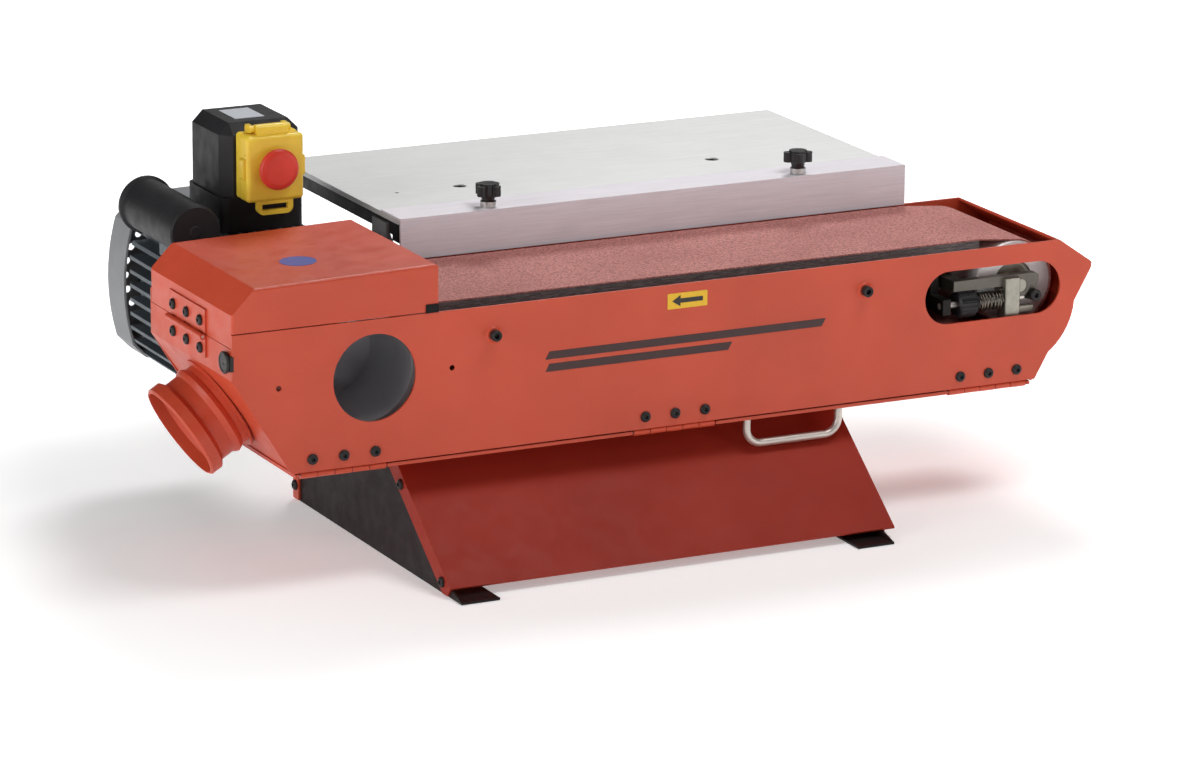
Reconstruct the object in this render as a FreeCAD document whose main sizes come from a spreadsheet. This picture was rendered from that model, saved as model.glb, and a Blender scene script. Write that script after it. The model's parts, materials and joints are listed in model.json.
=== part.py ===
import FreeCAD, Part
import math
import os
import re
import Sketcher
from FreeCAD import Placement, Rotation, Vector

# Belt grinder with a cantilevered abrasive belt, a flanged motor, a tilting fence table and a folded
# sheet-steel stand.  Millimetres.  +X runs along the belt to the tension end, +Y to the back, +Z up.
# Heights are above the floor; x is from the left end of the housing and y from the front panel's face.
# frame_x and frame_y then move everything so that the floor point under the middle is the origin.

SIZES = {
    "frame_x": 404.24, "frame_y": 173.5, "wall": 2,
    # housing: five sheets folded round the belt
    "depth": 181, "panel_low": 106.5, "panel_top": 233.5, "slope_foot": 53.5, "slope_head": 193.5,
    "roof_end": 806, "nose_x": 842, "nose_z": 208.7, "right_foot": 783.5, "bulge_r": 62.5,
    "bulge_high": 175.5, "bulge_low": 130, "floor_plate_z": 102, "floor_plate_t": 3, "end_wall_top": 221,
    # openings of the front panel
    "drum_x": 131, "drum_z": 182.3, "peep_r": 38.5, "slot_x": 737.9, "slot_z": 191.7, "slot_r": 24.3,
    "slot_half": 45.6, "small_hole_r": 2.5, "small_hole_z": 182.9, "small_left_x": 42.4,
    "small_right_x": 203.5, "boss_r": 8, "boss_high": 1.5, "cap_left_x": 242.6, "cap_right_x": 606.2,
    "cap_z": 208,
    # dust collar on the slanted end wall
    "duct_y": 92, "duct_bore": 38, "duct_neck": 40, "duct_rim": 45, "duct_long": 44,
    # panel hinges along the lower front edge
    "hinge_y": 2.9, "hinge_z": 103.5, "hinge_pitch": 316.5, "hinge_first": 102, "hinge_long": 80,
    "knuckle_r": 2.8, "hinge_pin_r": 1.4, "leaf_t": 1.6, "knuckle_gap": 0.7, "leaf_high": 18,
    "hinge_screw_z": 117.5, "hinge_screw_pitch": 29.2,
    # hood over the drive drum
    "hood_long": 190.3, "hood_low": 234.5, "hood_side_low": 221.5, "hood_left_z": 271.7,
    "hood_right_z": 275.5, "chamfer_x": 20.7, "chamfer_z": 250.5, "hood_pin_x": -3.4, "hood_pin_z": 220,
    "hood_pin_r": 1.4, "hood_knuckle_r": 2.7, "hood_leaf_y": 55, "hood_leaf_long": 79.5,
    "hood_leaf_low": 201.5, "hood_leaf_top": 243.5,
    # latch on the left end
    "latch_y": 9.9, "latch_z": 208.7, "latch_r": 9.6, "latch_off": 1.6, "latch_thick": 3,
    # belt, drum, idler and platen
    "belt_y": 25, "belt_wide": 140, "belt_t": 1.2, "drum_r": 51, "idler_x": 773, "idler_z": 192,
    "idler_r": 38.7, "platen_z": 226.3, "platen_t": 6, "pad_t": 2, "platen_left": 184,
    "platen_right": 737, "beam_left": 235, "beam_right": 690,
    # tension unit in front of the idler
    "rod_y": 13, "rod_z": 181, "rod_r": 3, "rod_long": 86.5, "knob_x": 706, "knob_long": 21.5, "knob_r": 12,
    "spring_x": 728, "spring_long": 25.5, "block_x": 754, "block_long": 15.5, "arm_z": 192, "arm_high": 11,
    "guide_z": 193, "bearing_r": 20, "bearing_wide": 12, "axle_r": 6, "axle_boss_r": 9.5, "track_x": 786.5,
    "track_z": 182.5,
    # motor
    "motor_half": 76.5, "motor_corner": 48, "shield_y": 181, "shield_t": 14, "stator_end": 372,
    "cowl_y": 381, "cowl_end": 420, "cowl_bulge_r": 200, "cowl_slant": 88, "shaft_r": 9.5,
    "cap_x": 52.8, "capacitor_z": 271.8,
    "capacitor_r": 23.5, "capacitor_y": 205, "capacitor_long": 118,
    # switch box
    "box_x": 93.5, "box_wide": 76, "box_y": 240, "box_deep": 80, "box_z": 258.8, "box_split": 290,
    "box_top": 355.5, "box_bevel": 10,
    "switch_x": 133.2, "switch_wide": 54, "switch_z": 290, "switch_high": 59,
    "flap_y": 215, "flap_deep": 17, "frame_deep": 8, "mushroom_z": 319.5, "mushroom_r": 18.3,
    "flap_axis_y": 229, "flap_axis_z": 352.5,
    # table
    "table_x": 233, "table_long": 508, "table_y": 176, "table_back": 436, "table_z": 266.5, "table_t": 4.5,
    "fence_x": 232, "fence_long": 509.2, "fence_y": 169, "fence_low": 235.7, "fence_top": 273.2,
    "fence_t": 2, "fence_deep": 41.5, "wing_y": 181, "wing_x": 323, "wing_pitch": 312.3,
    "boss_long": 5.2,
    "rail_t": 6, "rail_high": 12, "tilt_y": 215, "tilt_z": 243, "cheek_t": 6, "bracket_t": 3,
    # stand
    "base_x": 169, "base_long": 433, "base_front": -70, "base_low": 9, "base_head_y": 52,
    "foot_front": -89, "base_back": 265, "foot_wide": 36, "base_inset": 9,
    "handle_x": 494, "handle_span": 92,
    "handle_y": 8, "handle_r": 3.5, "handle_z": 77.9, "handle_bend": 14,
}

doc = FreeCAD.newDocument("BeltGrinder")
sheet = doc.addObject("Spreadsheet::Sheet", "Sizes")
for row, (alias, number) in enumerate(SIZES.items(), start=1):
    sheet.set("A%d" % row, alias)
    sheet.set("B%d" % row, str(number))
    sheet.setAlias("B%d" % row, alias)
doc.recompute()

ALONG_X = Rotation(Vector(0, 1, 0), 90)
ALONG_Y = Rotation(Vector(1, 0, 0), -90)
UPRIGHT = Rotation()
nodes = []


# ---- tying objects to the sheet ---------------------------------------------------------------------

def bound(text):
    """An expression in which every size name points at its cell."""
    return re.sub(r"(?<![\w.])[a-z][a-z_]+", lambda m: "Sizes." + m[0] if m[0] in SIZES else m[0],
                  str(text))


def value(text):
    """The number that an expression of sizes has now."""
    return float(sheet.evalExpression(bound(text)))


def bind(thing, prop, text):
    thing.setExpression(prop, bound(text))


def place(thing, at, turn=UPRIGHT):
    """Put an object at a point given as three expressions."""
    thing.Placement = Placement(Vector(*[value(part) for part in at]), turn)
    for axis, part in zip("xyz", at):
        bind(thing, "Placement.Base." + axis, part)
    return thing


def node(thing, label):
    """Name an object as a finished piece and shift it into the part's own frame."""
    thing.Label = label
    shifts = {"x": "frame_x", "y": "frame_y"}
    written = {prop.lstrip("."): text for prop, text in thing.ExpressionEngine}
    for axis, shift in shifts.items():
        prop = "Placement.Base." + axis
        bind(thing, prop, "(%s) - Sizes.%s" % (written.get(prop, "0"), shift))
    nodes.append(thing)
    return thing


# ---- primitives and booleans ------------------------------------------------------------------------

def box(at, size, turn=UPRIGHT):
    solid = doc.addObject("Part::Box", "Block")
    for prop, text in zip(("Length", "Width", "Height"), size):
        bind(solid, prop, text)
    return place(solid, at, turn)


def rod(at, radius, length, turn=UPRIGHT):
    solid = doc.addObject("Part::Cylinder", "Rod")
    bind(solid, "Radius", radius)
    bind(solid, "Height", length)
    return place(solid, at, turn)


def cone(at, near, far, length, turn=UPRIGHT):
    solid = doc.addObject("Part::Cone", "Taper")
    bind(solid, "Radius1", near)
    bind(solid, "Radius2", far)
    bind(solid, "Height", length)
    return place(solid, at, turn)


def hexagon(at, across, length, turn=UPRIGHT):
    solid = doc.addObject("Part::Prism", "Hexagon")
    solid.Polygon = 6
    bind(solid, "Circumradius", across)
    bind(solid, "Height", length)
    return place(solid, at, turn)


def fuse(*solids):
    whole = doc.addObject("Part::MultiFuse", "Union")
    whole.Shapes = list(solids)
    whole.Refine = True
    return whole


def cut(base, *tools):
    rest = doc.addObject("Part::Cut", "Difference")
    rest.Base = base
    rest.Tool = tools[0] if len(tools) == 1 else fuse(*tools)
    rest.Refine = True
    return rest


def group(solids):
    bundle = doc.addObject("Part::Compound", "Group")
    bundle.Links = list(solids)
    return bundle


def rounded(solid, radius, chosen):
    """Round the edges of a solid that the test picks out."""
    doc.recompute()
    soft = doc.addObject("Part::Fillet", "Rounded")
    soft.Base = solid
    picked = [i for i, edge in enumerate(solid.Shape.Edges, start=1) if chosen(edge)]
    soft.Edges = [(i, radius, radius) for i in picked]
    return soft


def bevelled(solid, size, chosen):
    """Cut the edges of a solid that the test picks out at 45 degrees."""
    doc.recompute()
    slanted_off = doc.addObject("Part::Chamfer", "Bevelled")
    slanted_off.Base = solid
    picked = [i for i, edge in enumerate(solid.Shape.Edges, start=1) if chosen(edge)]
    slanted_off.Edges = [(i, value(size), value(size)) for i in picked]
    return slanted_off


def along(edge, axis):
    """Whether an edge is straight and runs along an axis."""
    if edge.Curve.TypeId != "Part::GeomLine":
        return False
    return edge.tangentAt(edge.FirstParameter).cross(axis).Length < 1e-6


def centre(edge):
    return edge.valueAt((edge.FirstParameter + edge.LastParameter) / 2)


# ---- sketched bodies --------------------------------------------------------------------------------

def sketch_on(body, role):
    sketch = body.newObject("Sketcher::SketchObject", "Profile")
    plane = [feature for feature in body.Origin.OriginFeatures if feature.Role == role][0]
    sketch.AttachmentSupport = [(plane, "")]
    sketch.MapMode = "FlatFace"
    return sketch


def pin_point(sketch, curve, end, point):
    """Hold a point of a curve at coordinates given as expressions."""
    for kind, text in zip(("DistanceX", "DistanceY"), point):
        index = sketch.addConstraint(Sketcher.Constraint(kind, -1, 1, curve, end, value(text)))
        bind(sketch, "Constraints[%d]" % index, text)


def hold_radius(sketch, curve, text):
    index = sketch.addConstraint(Sketcher.Constraint("Radius", curve, value(text)))
    bind(sketch, "Constraints[%d]" % index, text)


def arc_through(start, end, radius):
    """The short arc from start to end, left-handed where the radius is positive."""
    chord = end - start
    half = chord.Length / 2
    normal = Vector(-chord.y, chord.x, 0).normalize()
    side = 1 if radius > 0 else -1
    height = math.sqrt(max(radius * radius - half * half, 0)) * side
    middle = start + chord * 0.5 + normal * height
    first, last = (start, end) if radius > 0 else (end, start)
    angles = [math.atan2(p.y - middle.y, p.x - middle.x) for p in (first, last)]
    if angles[1] < angles[0]:
        angles[1] += 2 * math.pi
    circle = Part.Circle(middle, Vector(0, 0, 1), abs(radius))
    return Part.ArcOfCircle(circle, angles[0], angles[1])


def draw_outline(sketch, points, arcs=None):
    """Draw a closed outline.  arcs maps a corner's number to the radius of the arc that leaves it."""
    arcs = arcs or {}
    corners = [Vector(value(across), value(up), 0) for across, up in points]
    starts = []
    for i, corner in enumerate(corners):
        target = corners[(i + 1) % len(corners)]
        if i in arcs:
            sketch.addGeometry(arc_through(corner, target, value(arcs[i])), False)
            starts.append((1, 2) if value(arcs[i]) > 0 else (2, 1))
        else:
            sketch.addGeometry(Part.LineSegment(corner, target), False)
            starts.append((1, 2))
    for i in range(len(corners)):
        after = (i + 1) % len(corners)
        sketch.addConstraint(Sketcher.Constraint("Coincident", i, starts[i][1], after, starts[after][0]))
    for i, point in enumerate(points):
        pin_point(sketch, i, starts[i][0], point)
    for i, radius in arcs.items():
        hold_radius(sketch, i, "abs(%s)" % radius)


def draw_circle(sketch, at, radius):
    middle = Vector(value(at[0]), value(at[1]), 0)
    curve = sketch.addGeometry(Part.Circle(middle, Vector(0, 0, 1), value(radius)), False)
    pin_point(sketch, curve, 3, at)
    hold_radius(sketch, curve, radius)


PLANES = {"side": "XZ_Plane", "end": "YZ_Plane", "plan": "XY_Plane"}


def plate(view, points, start, thick, arcs=None):
    """Pad an outline: side views grow to the back, end views to the right and plans upward."""
    body = doc.addObject("PartDesign::Body", "Plate")
    sketch = sketch_on(body, PLANES[view])
    draw_outline(sketch, points, arcs)
    pad = body.newObject("PartDesign::Pad", "Pad")
    pad.Profile = sketch
    bind(pad, "Length", thick)
    pad.Reversed = view == "side"
    sketch.Visibility = False
    origin = {"side": ("0", start, "0"), "end": (start, "0", "0"), "plan": ("0", "0", start)}
    return place(body, origin[view])


def pocket(body, view, drawings):
    """Cut drawn holes right through a plate's body and check that material went."""
    doc.recompute()
    before = body.Shape.Volume
    sketch = sketch_on(body, PLANES[view])
    for drawing in drawings:
        drawing(sketch)
    hole = body.newObject("PartDesign::Pocket", "Pocket")
    hole.Profile = sketch
    hole.Type = "ThroughAll"
    hole.Midplane = True
    sketch.Visibility = False
    doc.recompute()
    if not body.Shape.Volume < before - 1e-6:
        raise RuntimeError("a pocket in %s cut nothing" % body.Label)
    return body


def turned(points, at, axis="y", arcs=None):
    """Revolve an outline of (radius, distance along the axis) corners about an axis through a point."""
    body = doc.addObject("PartDesign::Body", "Turned")
    role, column = {"x": ("XY_Plane", "H_Axis"), "y": ("XY_Plane", "V_Axis"),
                    "z": ("XZ_Plane", "V_Axis")}[axis]
    sketch = sketch_on(body, role)
    if axis == "x":
        points = [(step, radius) for radius, step in points]
    draw_outline(sketch, points, arcs)
    whole = body.newObject("PartDesign::Revolution", "Revolution")
    whole.Profile = sketch
    whole.ReferenceAxis = (sketch, [column])
    whole.Angle = 360
    sketch.Visibility = False
    return place(body, at)


def button_screw(at, turn, length, head_r="4.8", head_high="3", shank_r="2"):
    """A button-head screw whose head grows along the turned +Z from the seat and shank goes the other way."""
    seat = cone(at, head_r, head_r + "*0.62", head_high, turn)
    axis = turn.multVec(Vector(0, 0, 1))
    tail = shifted(at, axis, "-(%s)" % length)
    shank = rod(tail, shank_r, length + " + 0.2", turn)
    socket = hexagon(shifted(at, axis, head_high + " - 1.4"), head_r + "*0.33", "3", turn)
    return cut(fuse(seat, shank), socket)


def shifted(at, axis, distance):
    """A point moved along an axis by an expression."""
    moved = []
    for part, component in zip(at, axis):
        moved.append("%s + (%s)*%.9g" % (part, distance, component) if abs(component) > 1e-9 else str(part))
    return tuple(moved)


# ---- housing ----------------------------------------------------------------------------------------

def edge_x(height):
    """x on the slanted right edge of the housing at a height."""
    return "(right_foot + (%s - panel_low)*(nose_x - right_foot)/(nose_z - panel_low))" % height


SIDE_OUTLINE = [("slope_foot", "panel_low"), ("right_foot", "panel_low"),
                (edge_x("bulge_low"), "bulge_low"),
                (edge_x("bulge_high"), "bulge_high"), ("nose_x", "nose_z"), ("roof_end", "panel_top"),
                ("0", "panel_top"), ("0", "slope_head")]
BULGE = {2: "bulge_r"}


def hinge_middles():
    return ["hinge_first + %d*hinge_pitch" % i for i in range(3)]


def round_nose(body):
    """Round the pointed right-hand corner of a side plate."""
    doc.recompute()
    names = ["Edge%d" % i for i, edge in enumerate(body.Shape.Edges, start=1)
             if along(edge, Vector(0, 1, 0)) and abs(centre(edge).x - value("nose_x")) < 1]
    sharp = body.Tip
    nose = body.newObject("PartDesign::Fillet", "Nose")
    nose.Base = (sharp, names)
    nose.Radius = 6
    body.Tip = nose
    return body


def make_front_panel():
    panel = plate("side", SIDE_OUTLINE, "0", "wall", BULGE)
    round_nose(panel)

    def slot(sketch):
        low, high = "slot_z - slot_r", "slot_z + slot_r"
        left, right = "slot_x - slot_half", "slot_x + slot_half"
        span = value("slot_r")
        middle_z = value("slot_z")
        ends = [(value(left), math.pi / 2, 3 * math.pi / 2), (value(right), -math.pi / 2, math.pi / 2)]
        arcs = []
        for across, first, last in ends:
            circle = Part.Circle(Vector(across, middle_z, 0), Vector(0, 0, 1), span)
            arcs.append(sketch.addGeometry(Part.ArcOfCircle(circle, first, last), False))
        for up in (high, low):
            line = Part.LineSegment(Vector(value(left), value(up), 0), Vector(value(right), value(up), 0))
            arcs.append(sketch.addGeometry(line, False))
        joins = [(0, 1, 2, 1), (0, 2, 3, 1), (1, 2, 2, 2), (1, 1, 3, 2)]
        for first, first_end, second, second_end in joins:
            sketch.addConstraint(Sketcher.Constraint("Tangent", arcs[first], first_end, arcs[second],
                                                     second_end))
        for curve, across in ((0, left), (1, right)):
            pin_point(sketch, arcs[curve], 3, (across, "slot_z"))
            hold_radius(sketch, arcs[curve], "slot_r")

    round_holes = [("drum_x", "drum_z", "peep_r"), ("small_left_x", "small_hole_z", "small_hole_r"),
                   ("small_right_x", "small_hole_z", "small_hole_r")]
    drawings = [slot]
    for across, up, radius in round_holes:
        drawings.append(lambda sketch, a=across, u=up, r=radius: draw_circle(sketch, (a, u), r))
    pocket(panel, "side", drawings)
    bosses = [cone((x, "-boss_high", "cap_z"), "boss_r - 2", "boss_r", "boss_high + 0.1", ALONG_Y)
              for x in ("cap_left_x", "cap_right_x")]
    drills = [rod((x, "-5", "cap_z"), "3.1", "12", ALONG_Y) for x in ("cap_left_x", "cap_right_x")]
    drills += [rod((x, "-5", "hinge_screw_z"), "2.1", "12", ALONG_Y) for x in hinge_screw_places()]
    drills.append(box(("-1", "-1", "latch_z - 6.7"), ("2.55", "wall + 2", "13.4")))
    node(cut(fuse(panel, *bosses), *drills), "front_panel")


def hinge_screw_places():
    places = []
    for middle in hinge_middles():
        places += ["%s + %d*hinge_screw_pitch" % (middle, step) for step in (-1, 0, 1)]
    return places


def make_back_panel():
    panel = plate("side", SIDE_OUTLINE, "depth - wall", "wall", BULGE)
    round_nose(panel)
    drills = [rod(("drum_x", "depth - 5", "drum_z"), "24", "10", ALONG_Y)]
    for x, z in motor_bolt_places() + beam_bolt_places():
        drills.append(rod((x, "depth - 5", z), "3.2", "10", ALONG_Y))
    for x, z in arm_bolt_places():
        drills.append(rod((x, "depth - 5", z), "3.2", "10", ALONG_Y))
    node(cut(panel, *drills), "back_panel")


def motor_bolt_places():
    return [("drum_x + %d" % dx, "drum_z + %d" % dz) for dx in (-46, 46) for dz in (-46, 46)]


def beam_bolt_places():
    return [(x, "200") for x in ("280", "400", "520", "640")]


def arm_bolt_places():
    return [(x, z) for x in ("table_x + 24", "table_x + table_long - 24") for z in ("196", "218")]


def make_housing_walls():
    inside = "depth - 2*wall - 0.4"
    floor_top = "floor_plate_z + floor_plate_t"
    foot = "(slope_foot + (panel_low - %s)*slope_foot/(slope_head - panel_low))" % floor_top
    wall_outline = [(foot, floor_top), (foot + " + wall*1.17", floor_top), ("wall", "slope_head + 0.6"),
                    ("wall", "end_wall_top"), ("0", "end_wall_top"), ("0", "slope_head")]
    wall = plate("side", wall_outline, "wall + 0.4", inside)
    collar_hole = rod(duct_point("-12"), "duct_bore + 2.1", "24", duct_turn())
    latch_hole = rod(("-5", "latch_y", "latch_z"), "3.2", "12", ALONG_X)
    leaf_holes = [rod(("-5", y, "hood_leaf_low + 7"), "2.1", "12", ALONG_X) for y in hood_screw_places()]
    node(cut(wall, collar_hole, latch_hole, *leaf_holes), "left_end_wall")

    thick = "wall*1.17"
    outline = [(edge_x(floor_top) + " - " + thick, floor_top), (edge_x(floor_top), floor_top),
               (edge_x("bulge_low"), "bulge_low"), (edge_x("bulge_high"), "bulge_high"), ("nose_x", "nose_z"),
               ("roof_end", "panel_top"), ("roof_end - 1.2", "panel_top - wall"),
               ("nose_x - 3.2", "nose_z - 0.5"), (edge_x("bulge_high") + " - " + thick, "bulge_high"),
               (edge_x("bulge_low") + " - " + thick, "bulge_low")]
    node(plate("side", outline, "wall + 0.4", inside, {2: "bulge_r", 8: "-bulge_r"}), "right_end_wall")

    floor = box(("slope_foot + 3.5", "1", "floor_plate_z"),
                ("right_foot - slope_foot - 8", "depth - wall - 1",
                                                            "floor_plate_t"))
    notches = [box((middle + " - hinge_long/2 - 1", "0", "floor_plate_z - 1"),
                   ("hinge_long + 2", "6.5", "floor_plate_t + 2")) for middle in hinge_middles()]
    holes = [rod((x, "handle_y", "floor_plate_z - 2"), "2.1", "8") for x in handle_legs()]
    node(cut(floor, *notches, *holes), "bottom_plate")


def handle_legs():
    return ["handle_x", "handle_x + handle_span"]


SLOPE = math.atan2(SIZES["slope_head"] - SIZES["panel_low"], SIZES["slope_foot"])


def duct_turn():
    """Turn +Z to the outward normal of the slanted end wall."""
    normal = Vector(-math.sin(SLOPE), 0, -math.cos(SLOPE))
    return Rotation(Vector(0, 0, 1), normal)


def duct_point(distance):
    middle = ("slope_foot/2", "duct_y", "(slope_head + panel_low)/2")
    return shifted(middle, duct_turn().multVec(Vector(0, 0, 1)), distance)


def make_dust_collar():
    profile = [("duct_bore", "-8"), ("duct_neck", "-8"), ("duct_neck", "7"), ("duct_neck + 1.6", "9"),
               ("duct_neck + 3", "12"), ("duct_neck + 1.6", "15"), ("duct_neck", "17"),
               ("duct_neck", "duct_long - 15"), ("duct_rim", "duct_long - 11"), ("duct_rim", "duct_long - 1.5"),
               ("duct_rim - 1.5", "duct_long"), ("duct_rim - 3", "duct_long"), ("duct_rim - 3", "duct_long - 10"),
               ("duct_bore", "duct_long - 14")]
    collar = turned(profile, ("0", "0", "0"), "z")
    flange = cut(rod(("0", "0", "0.05"), "duct_neck + 5", "1.6"), rod(("0", "0", "-1"), "duct_bore", "5"))
    whole = fuse(collar, flange)
    place(whole, duct_point("0"), duct_turn())
    node(whole, "dust_collar")


# ---- hinges, hood and latch -------------------------------------------------------------------------

def leaf(knuckles, segment, first, along_at, plate_box, web_box, knuckle_r, pin_r, turn, axis_point):
    """A hinge leaf: one plate, with a web and a knuckle at each of its own segments."""
    solids = [box(*plate_box)]
    for k in knuckles:
        start = "%s + %d*(%s) + knuckle_gap/2" % (first, k, segment)
        long = "%s - knuckle_gap" % segment
        solids.append(rod(along_at(start), knuckle_r, long, turn))
        solids.append(web_box(start, long))
    bore = rod(axis_point, pin_r + " + 0.05", "hinge_long + 40", turn)
    return cut(fuse(*solids), bore)


def make_panel_hinges():
    segment = "hinge_long/5"
    moving, fixed = [], []
    for middle in hinge_middles():
        first = middle + " - hinge_long/2"
        bore_at = (first + " - 20", "hinge_y", "hinge_z")
        spot = lambda start: (start, "hinge_y", "hinge_z")
        upright = lambda start, long: box((start, "wall", "hinge_z"), (long, "leaf_t", "knuckle_r + 0.8"))
        flat = lambda start, long: box((start, "hinge_y", "floor_plate_z - leaf_t"),
                                       (long, "5", "leaf_t"))
        upper_plate = ((first, "wall", "hinge_z + knuckle_r + 0.4"),
                       ("hinge_long", "leaf_t", "leaf_high"))
        lower_plate = ((first, "hinge_y + knuckle_r + 0.4", "floor_plate_z - leaf_t"),
                       ("hinge_long", "18", "leaf_t"))
        upper = leaf((1, 3), segment, first, spot, upper_plate, upright, "knuckle_r", "hinge_pin_r",
                     ALONG_X,
                     bore_at)
        lower = leaf((0, 2, 4), segment, first, spot, lower_plate, flat, "knuckle_r", "hinge_pin_r",
                     ALONG_X,
                     bore_at)
        drills = [rod(("%s + %d*hinge_screw_pitch" % (middle, step), "-5", "hinge_screw_z"), "2.1", "12",
                      ALONG_Y)
                  for step in (-1, 0, 1)]
        moving.append(cut(upper, *drills))
        fixed.append(lower)
    node(group(moving), "panel_hinge_leaves")
    pins = [rod((middle + " - hinge_long/2", "hinge_y", "hinge_z"), "hinge_pin_r", "hinge_long", ALONG_X)
            for middle in hinge_middles()]
    return fixed, pins


def hood_screw_places():
    return ["hood_leaf_y + hood_leaf_long/2 + %d*30" % step for step in (-1, 0, 1)]


def make_hood_hinge():
    segment = "hood_leaf_long/5"
    spot = lambda start: ("hood_pin_x", start, "hood_pin_z")
    bore_at = ("hood_pin_x", "hood_leaf_y - 20", "hood_pin_z")
    web = lambda start, long: box(("-leaf_t", start, "hood_pin_z"),
                                  ("leaf_t", long, "hood_knuckle_r + 0.8"))
    low_web = lambda start, long: box(("-leaf_t", start, "hood_pin_z - hood_knuckle_r - 0.8"),
                                      ("leaf_t", long, "hood_knuckle_r + 0.8"))
    top_low = "hood_pin_z + hood_knuckle_r + 0.4"
    upper_plate = (("-leaf_t", "hood_leaf_y", top_low),
                   ("leaf_t", "hood_leaf_long", "hood_leaf_top - (%s)" % top_low))
    lower_plate = (("-leaf_t", "hood_leaf_y", "hood_leaf_low"),
                   ("leaf_t", "hood_leaf_long", "hood_pin_z - hood_knuckle_r - 0.4 - hood_leaf_low"))
    upper = leaf((1, 3), segment, "hood_leaf_y", spot, upper_plate, web, "hood_knuckle_r", "hood_pin_r",
                 ALONG_Y,
                 bore_at)
    lower = leaf((0, 2, 4), segment, "hood_leaf_y", spot, lower_plate, low_web, "hood_knuckle_r",
                 "hood_pin_r",
                 ALONG_Y, bore_at)
    upper_holes = [rod(("-5", y, "hood_leaf_top - 11"), "2.1", "12", ALONG_X)
                   for y in hood_screw_places()]
    lower_holes = [rod(("-5", y, "hood_leaf_low + 7"), "2.1", "12", ALONG_X) for y in hood_screw_places()]
    node(cut(upper, *upper_holes), "hood_hinge_leaf")
    pin = rod(("hood_pin_x", "hood_leaf_y", "hood_pin_z"), "hood_pin_r", "hood_leaf_long", ALONG_Y)
    to_left = Rotation(Vector(0, 1, 0), -90)
    screws = [button_screw(("-leaf_t", y, "hood_leaf_top - 11"), to_left, "6")
              for y in hood_screw_places()]
    node(group(screws), "hood_hinge_screws")
    lower_screws = [button_screw(("-leaf_t", y, "hood_leaf_low + 7"), to_left, "6")
                    for y in hood_screw_places()]
    return cut(lower, *lower_holes), pin, lower_screws


def make_hood():
    outline = [("0", "hood_side_low"), ("wall", "hood_side_low"), ("wall", "hood_low"),
               ("hood_long", "hood_low"),
               ("hood_long", "hood_right_z"), ("chamfer_x", "hood_left_z"), ("0", "chamfer_z")]
    outer = plate("side", outline, "0", "depth - 0.5")
    slim = rounded(outer, 2.6, lambda edge: edge.Length > 150 and centre(edge).z > 260
                   or along(edge, Vector(0, 0, 1)) and centre(edge).x < 1)
    cavity = plate("side", [("wall", "hood_side_low - 5"), ("hood_long + 5", "hood_side_low - 5"),
                            ("hood_long + 5", "hood_right_z - wall + 0.1"),
                            ("chamfer_x + 0.8", "hood_left_z - wall"), ("wall", "chamfer_z - 0.8")],
                   "wall", "depth - 2*wall - 0.5")
    corners = [box(("-1", y, "hood_side_low - 1"), ("4", "wall + 1.2", "hood_low - hood_side_low + 1"))
               for y in ("-1", "depth - wall - 0.3")]
    buffer_notch = box(("hood_long - 11.5", "-1", "hood_low - 1"), ("13", "wall + 2", "7.2"))
    holes = [rod(("-5", y, "hood_leaf_top - 11"), "2.1", "12", ALONG_X) for y in hood_screw_places()]
    node(cut(slim, cavity, buffer_notch, *corners, *holes), "hood")
    lip = box(("hood_long - 11.5", "-1.2", "panel_top + 0.3"), ("11.5", "1.2", "7.4"))
    body = box(("hood_long - 11.4", "0", "panel_top + 0.3"), ("11.4", "5", "6.6"))
    node(fuse(lip, body), "hood_buffer")


def make_latch():
    half = "latch_r - 3"
    tongue = box(("-latch_off + 0.05", "0.05", "latch_z - (%s)" % half),
                 ("latch_off - 0.25", "19", "2*(%s)" % half))
    claw = box(("-latch_off + 0.05", "0.05", "latch_z - (%s)" % half),
               ("latch_off + 1.4", "wall - 0.1", "2*(%s)" % half))
    slot = box(("-5", "latch_y - 3.6", "latch_z - 4.2"), ("6", "20", "8.4"))
    node(fuse(cut(tongue, slot), claw), "latch_hook")
    back = "-latch_off"
    front = "-latch_off - latch_thick"
    face = turned([("0", front + " + 0.5"), ("latch_r - 2.4", front + " + 0.5"), ("latch_r - 1.8", front),
                   ("latch_r - 0.8", front), ("latch_r", front + " + 0.8"), ("latch_r", back + " - 0.6"),
                   ("latch_r - 0.6", back), ("3", back), ("3", "6"), ("0", "6")],
                  ("0", "latch_y", "latch_z"), "x")
    notch = box(("-latch_off - latch_thick - 1", "latch_y - 4.5", "latch_z - 1.4"), ("1.8", "5", "1.8"))
    node(cut(face, notch), "latch_knob")


# ---- belt, drum, idler and platen -------------------------------------------------------------------

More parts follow.
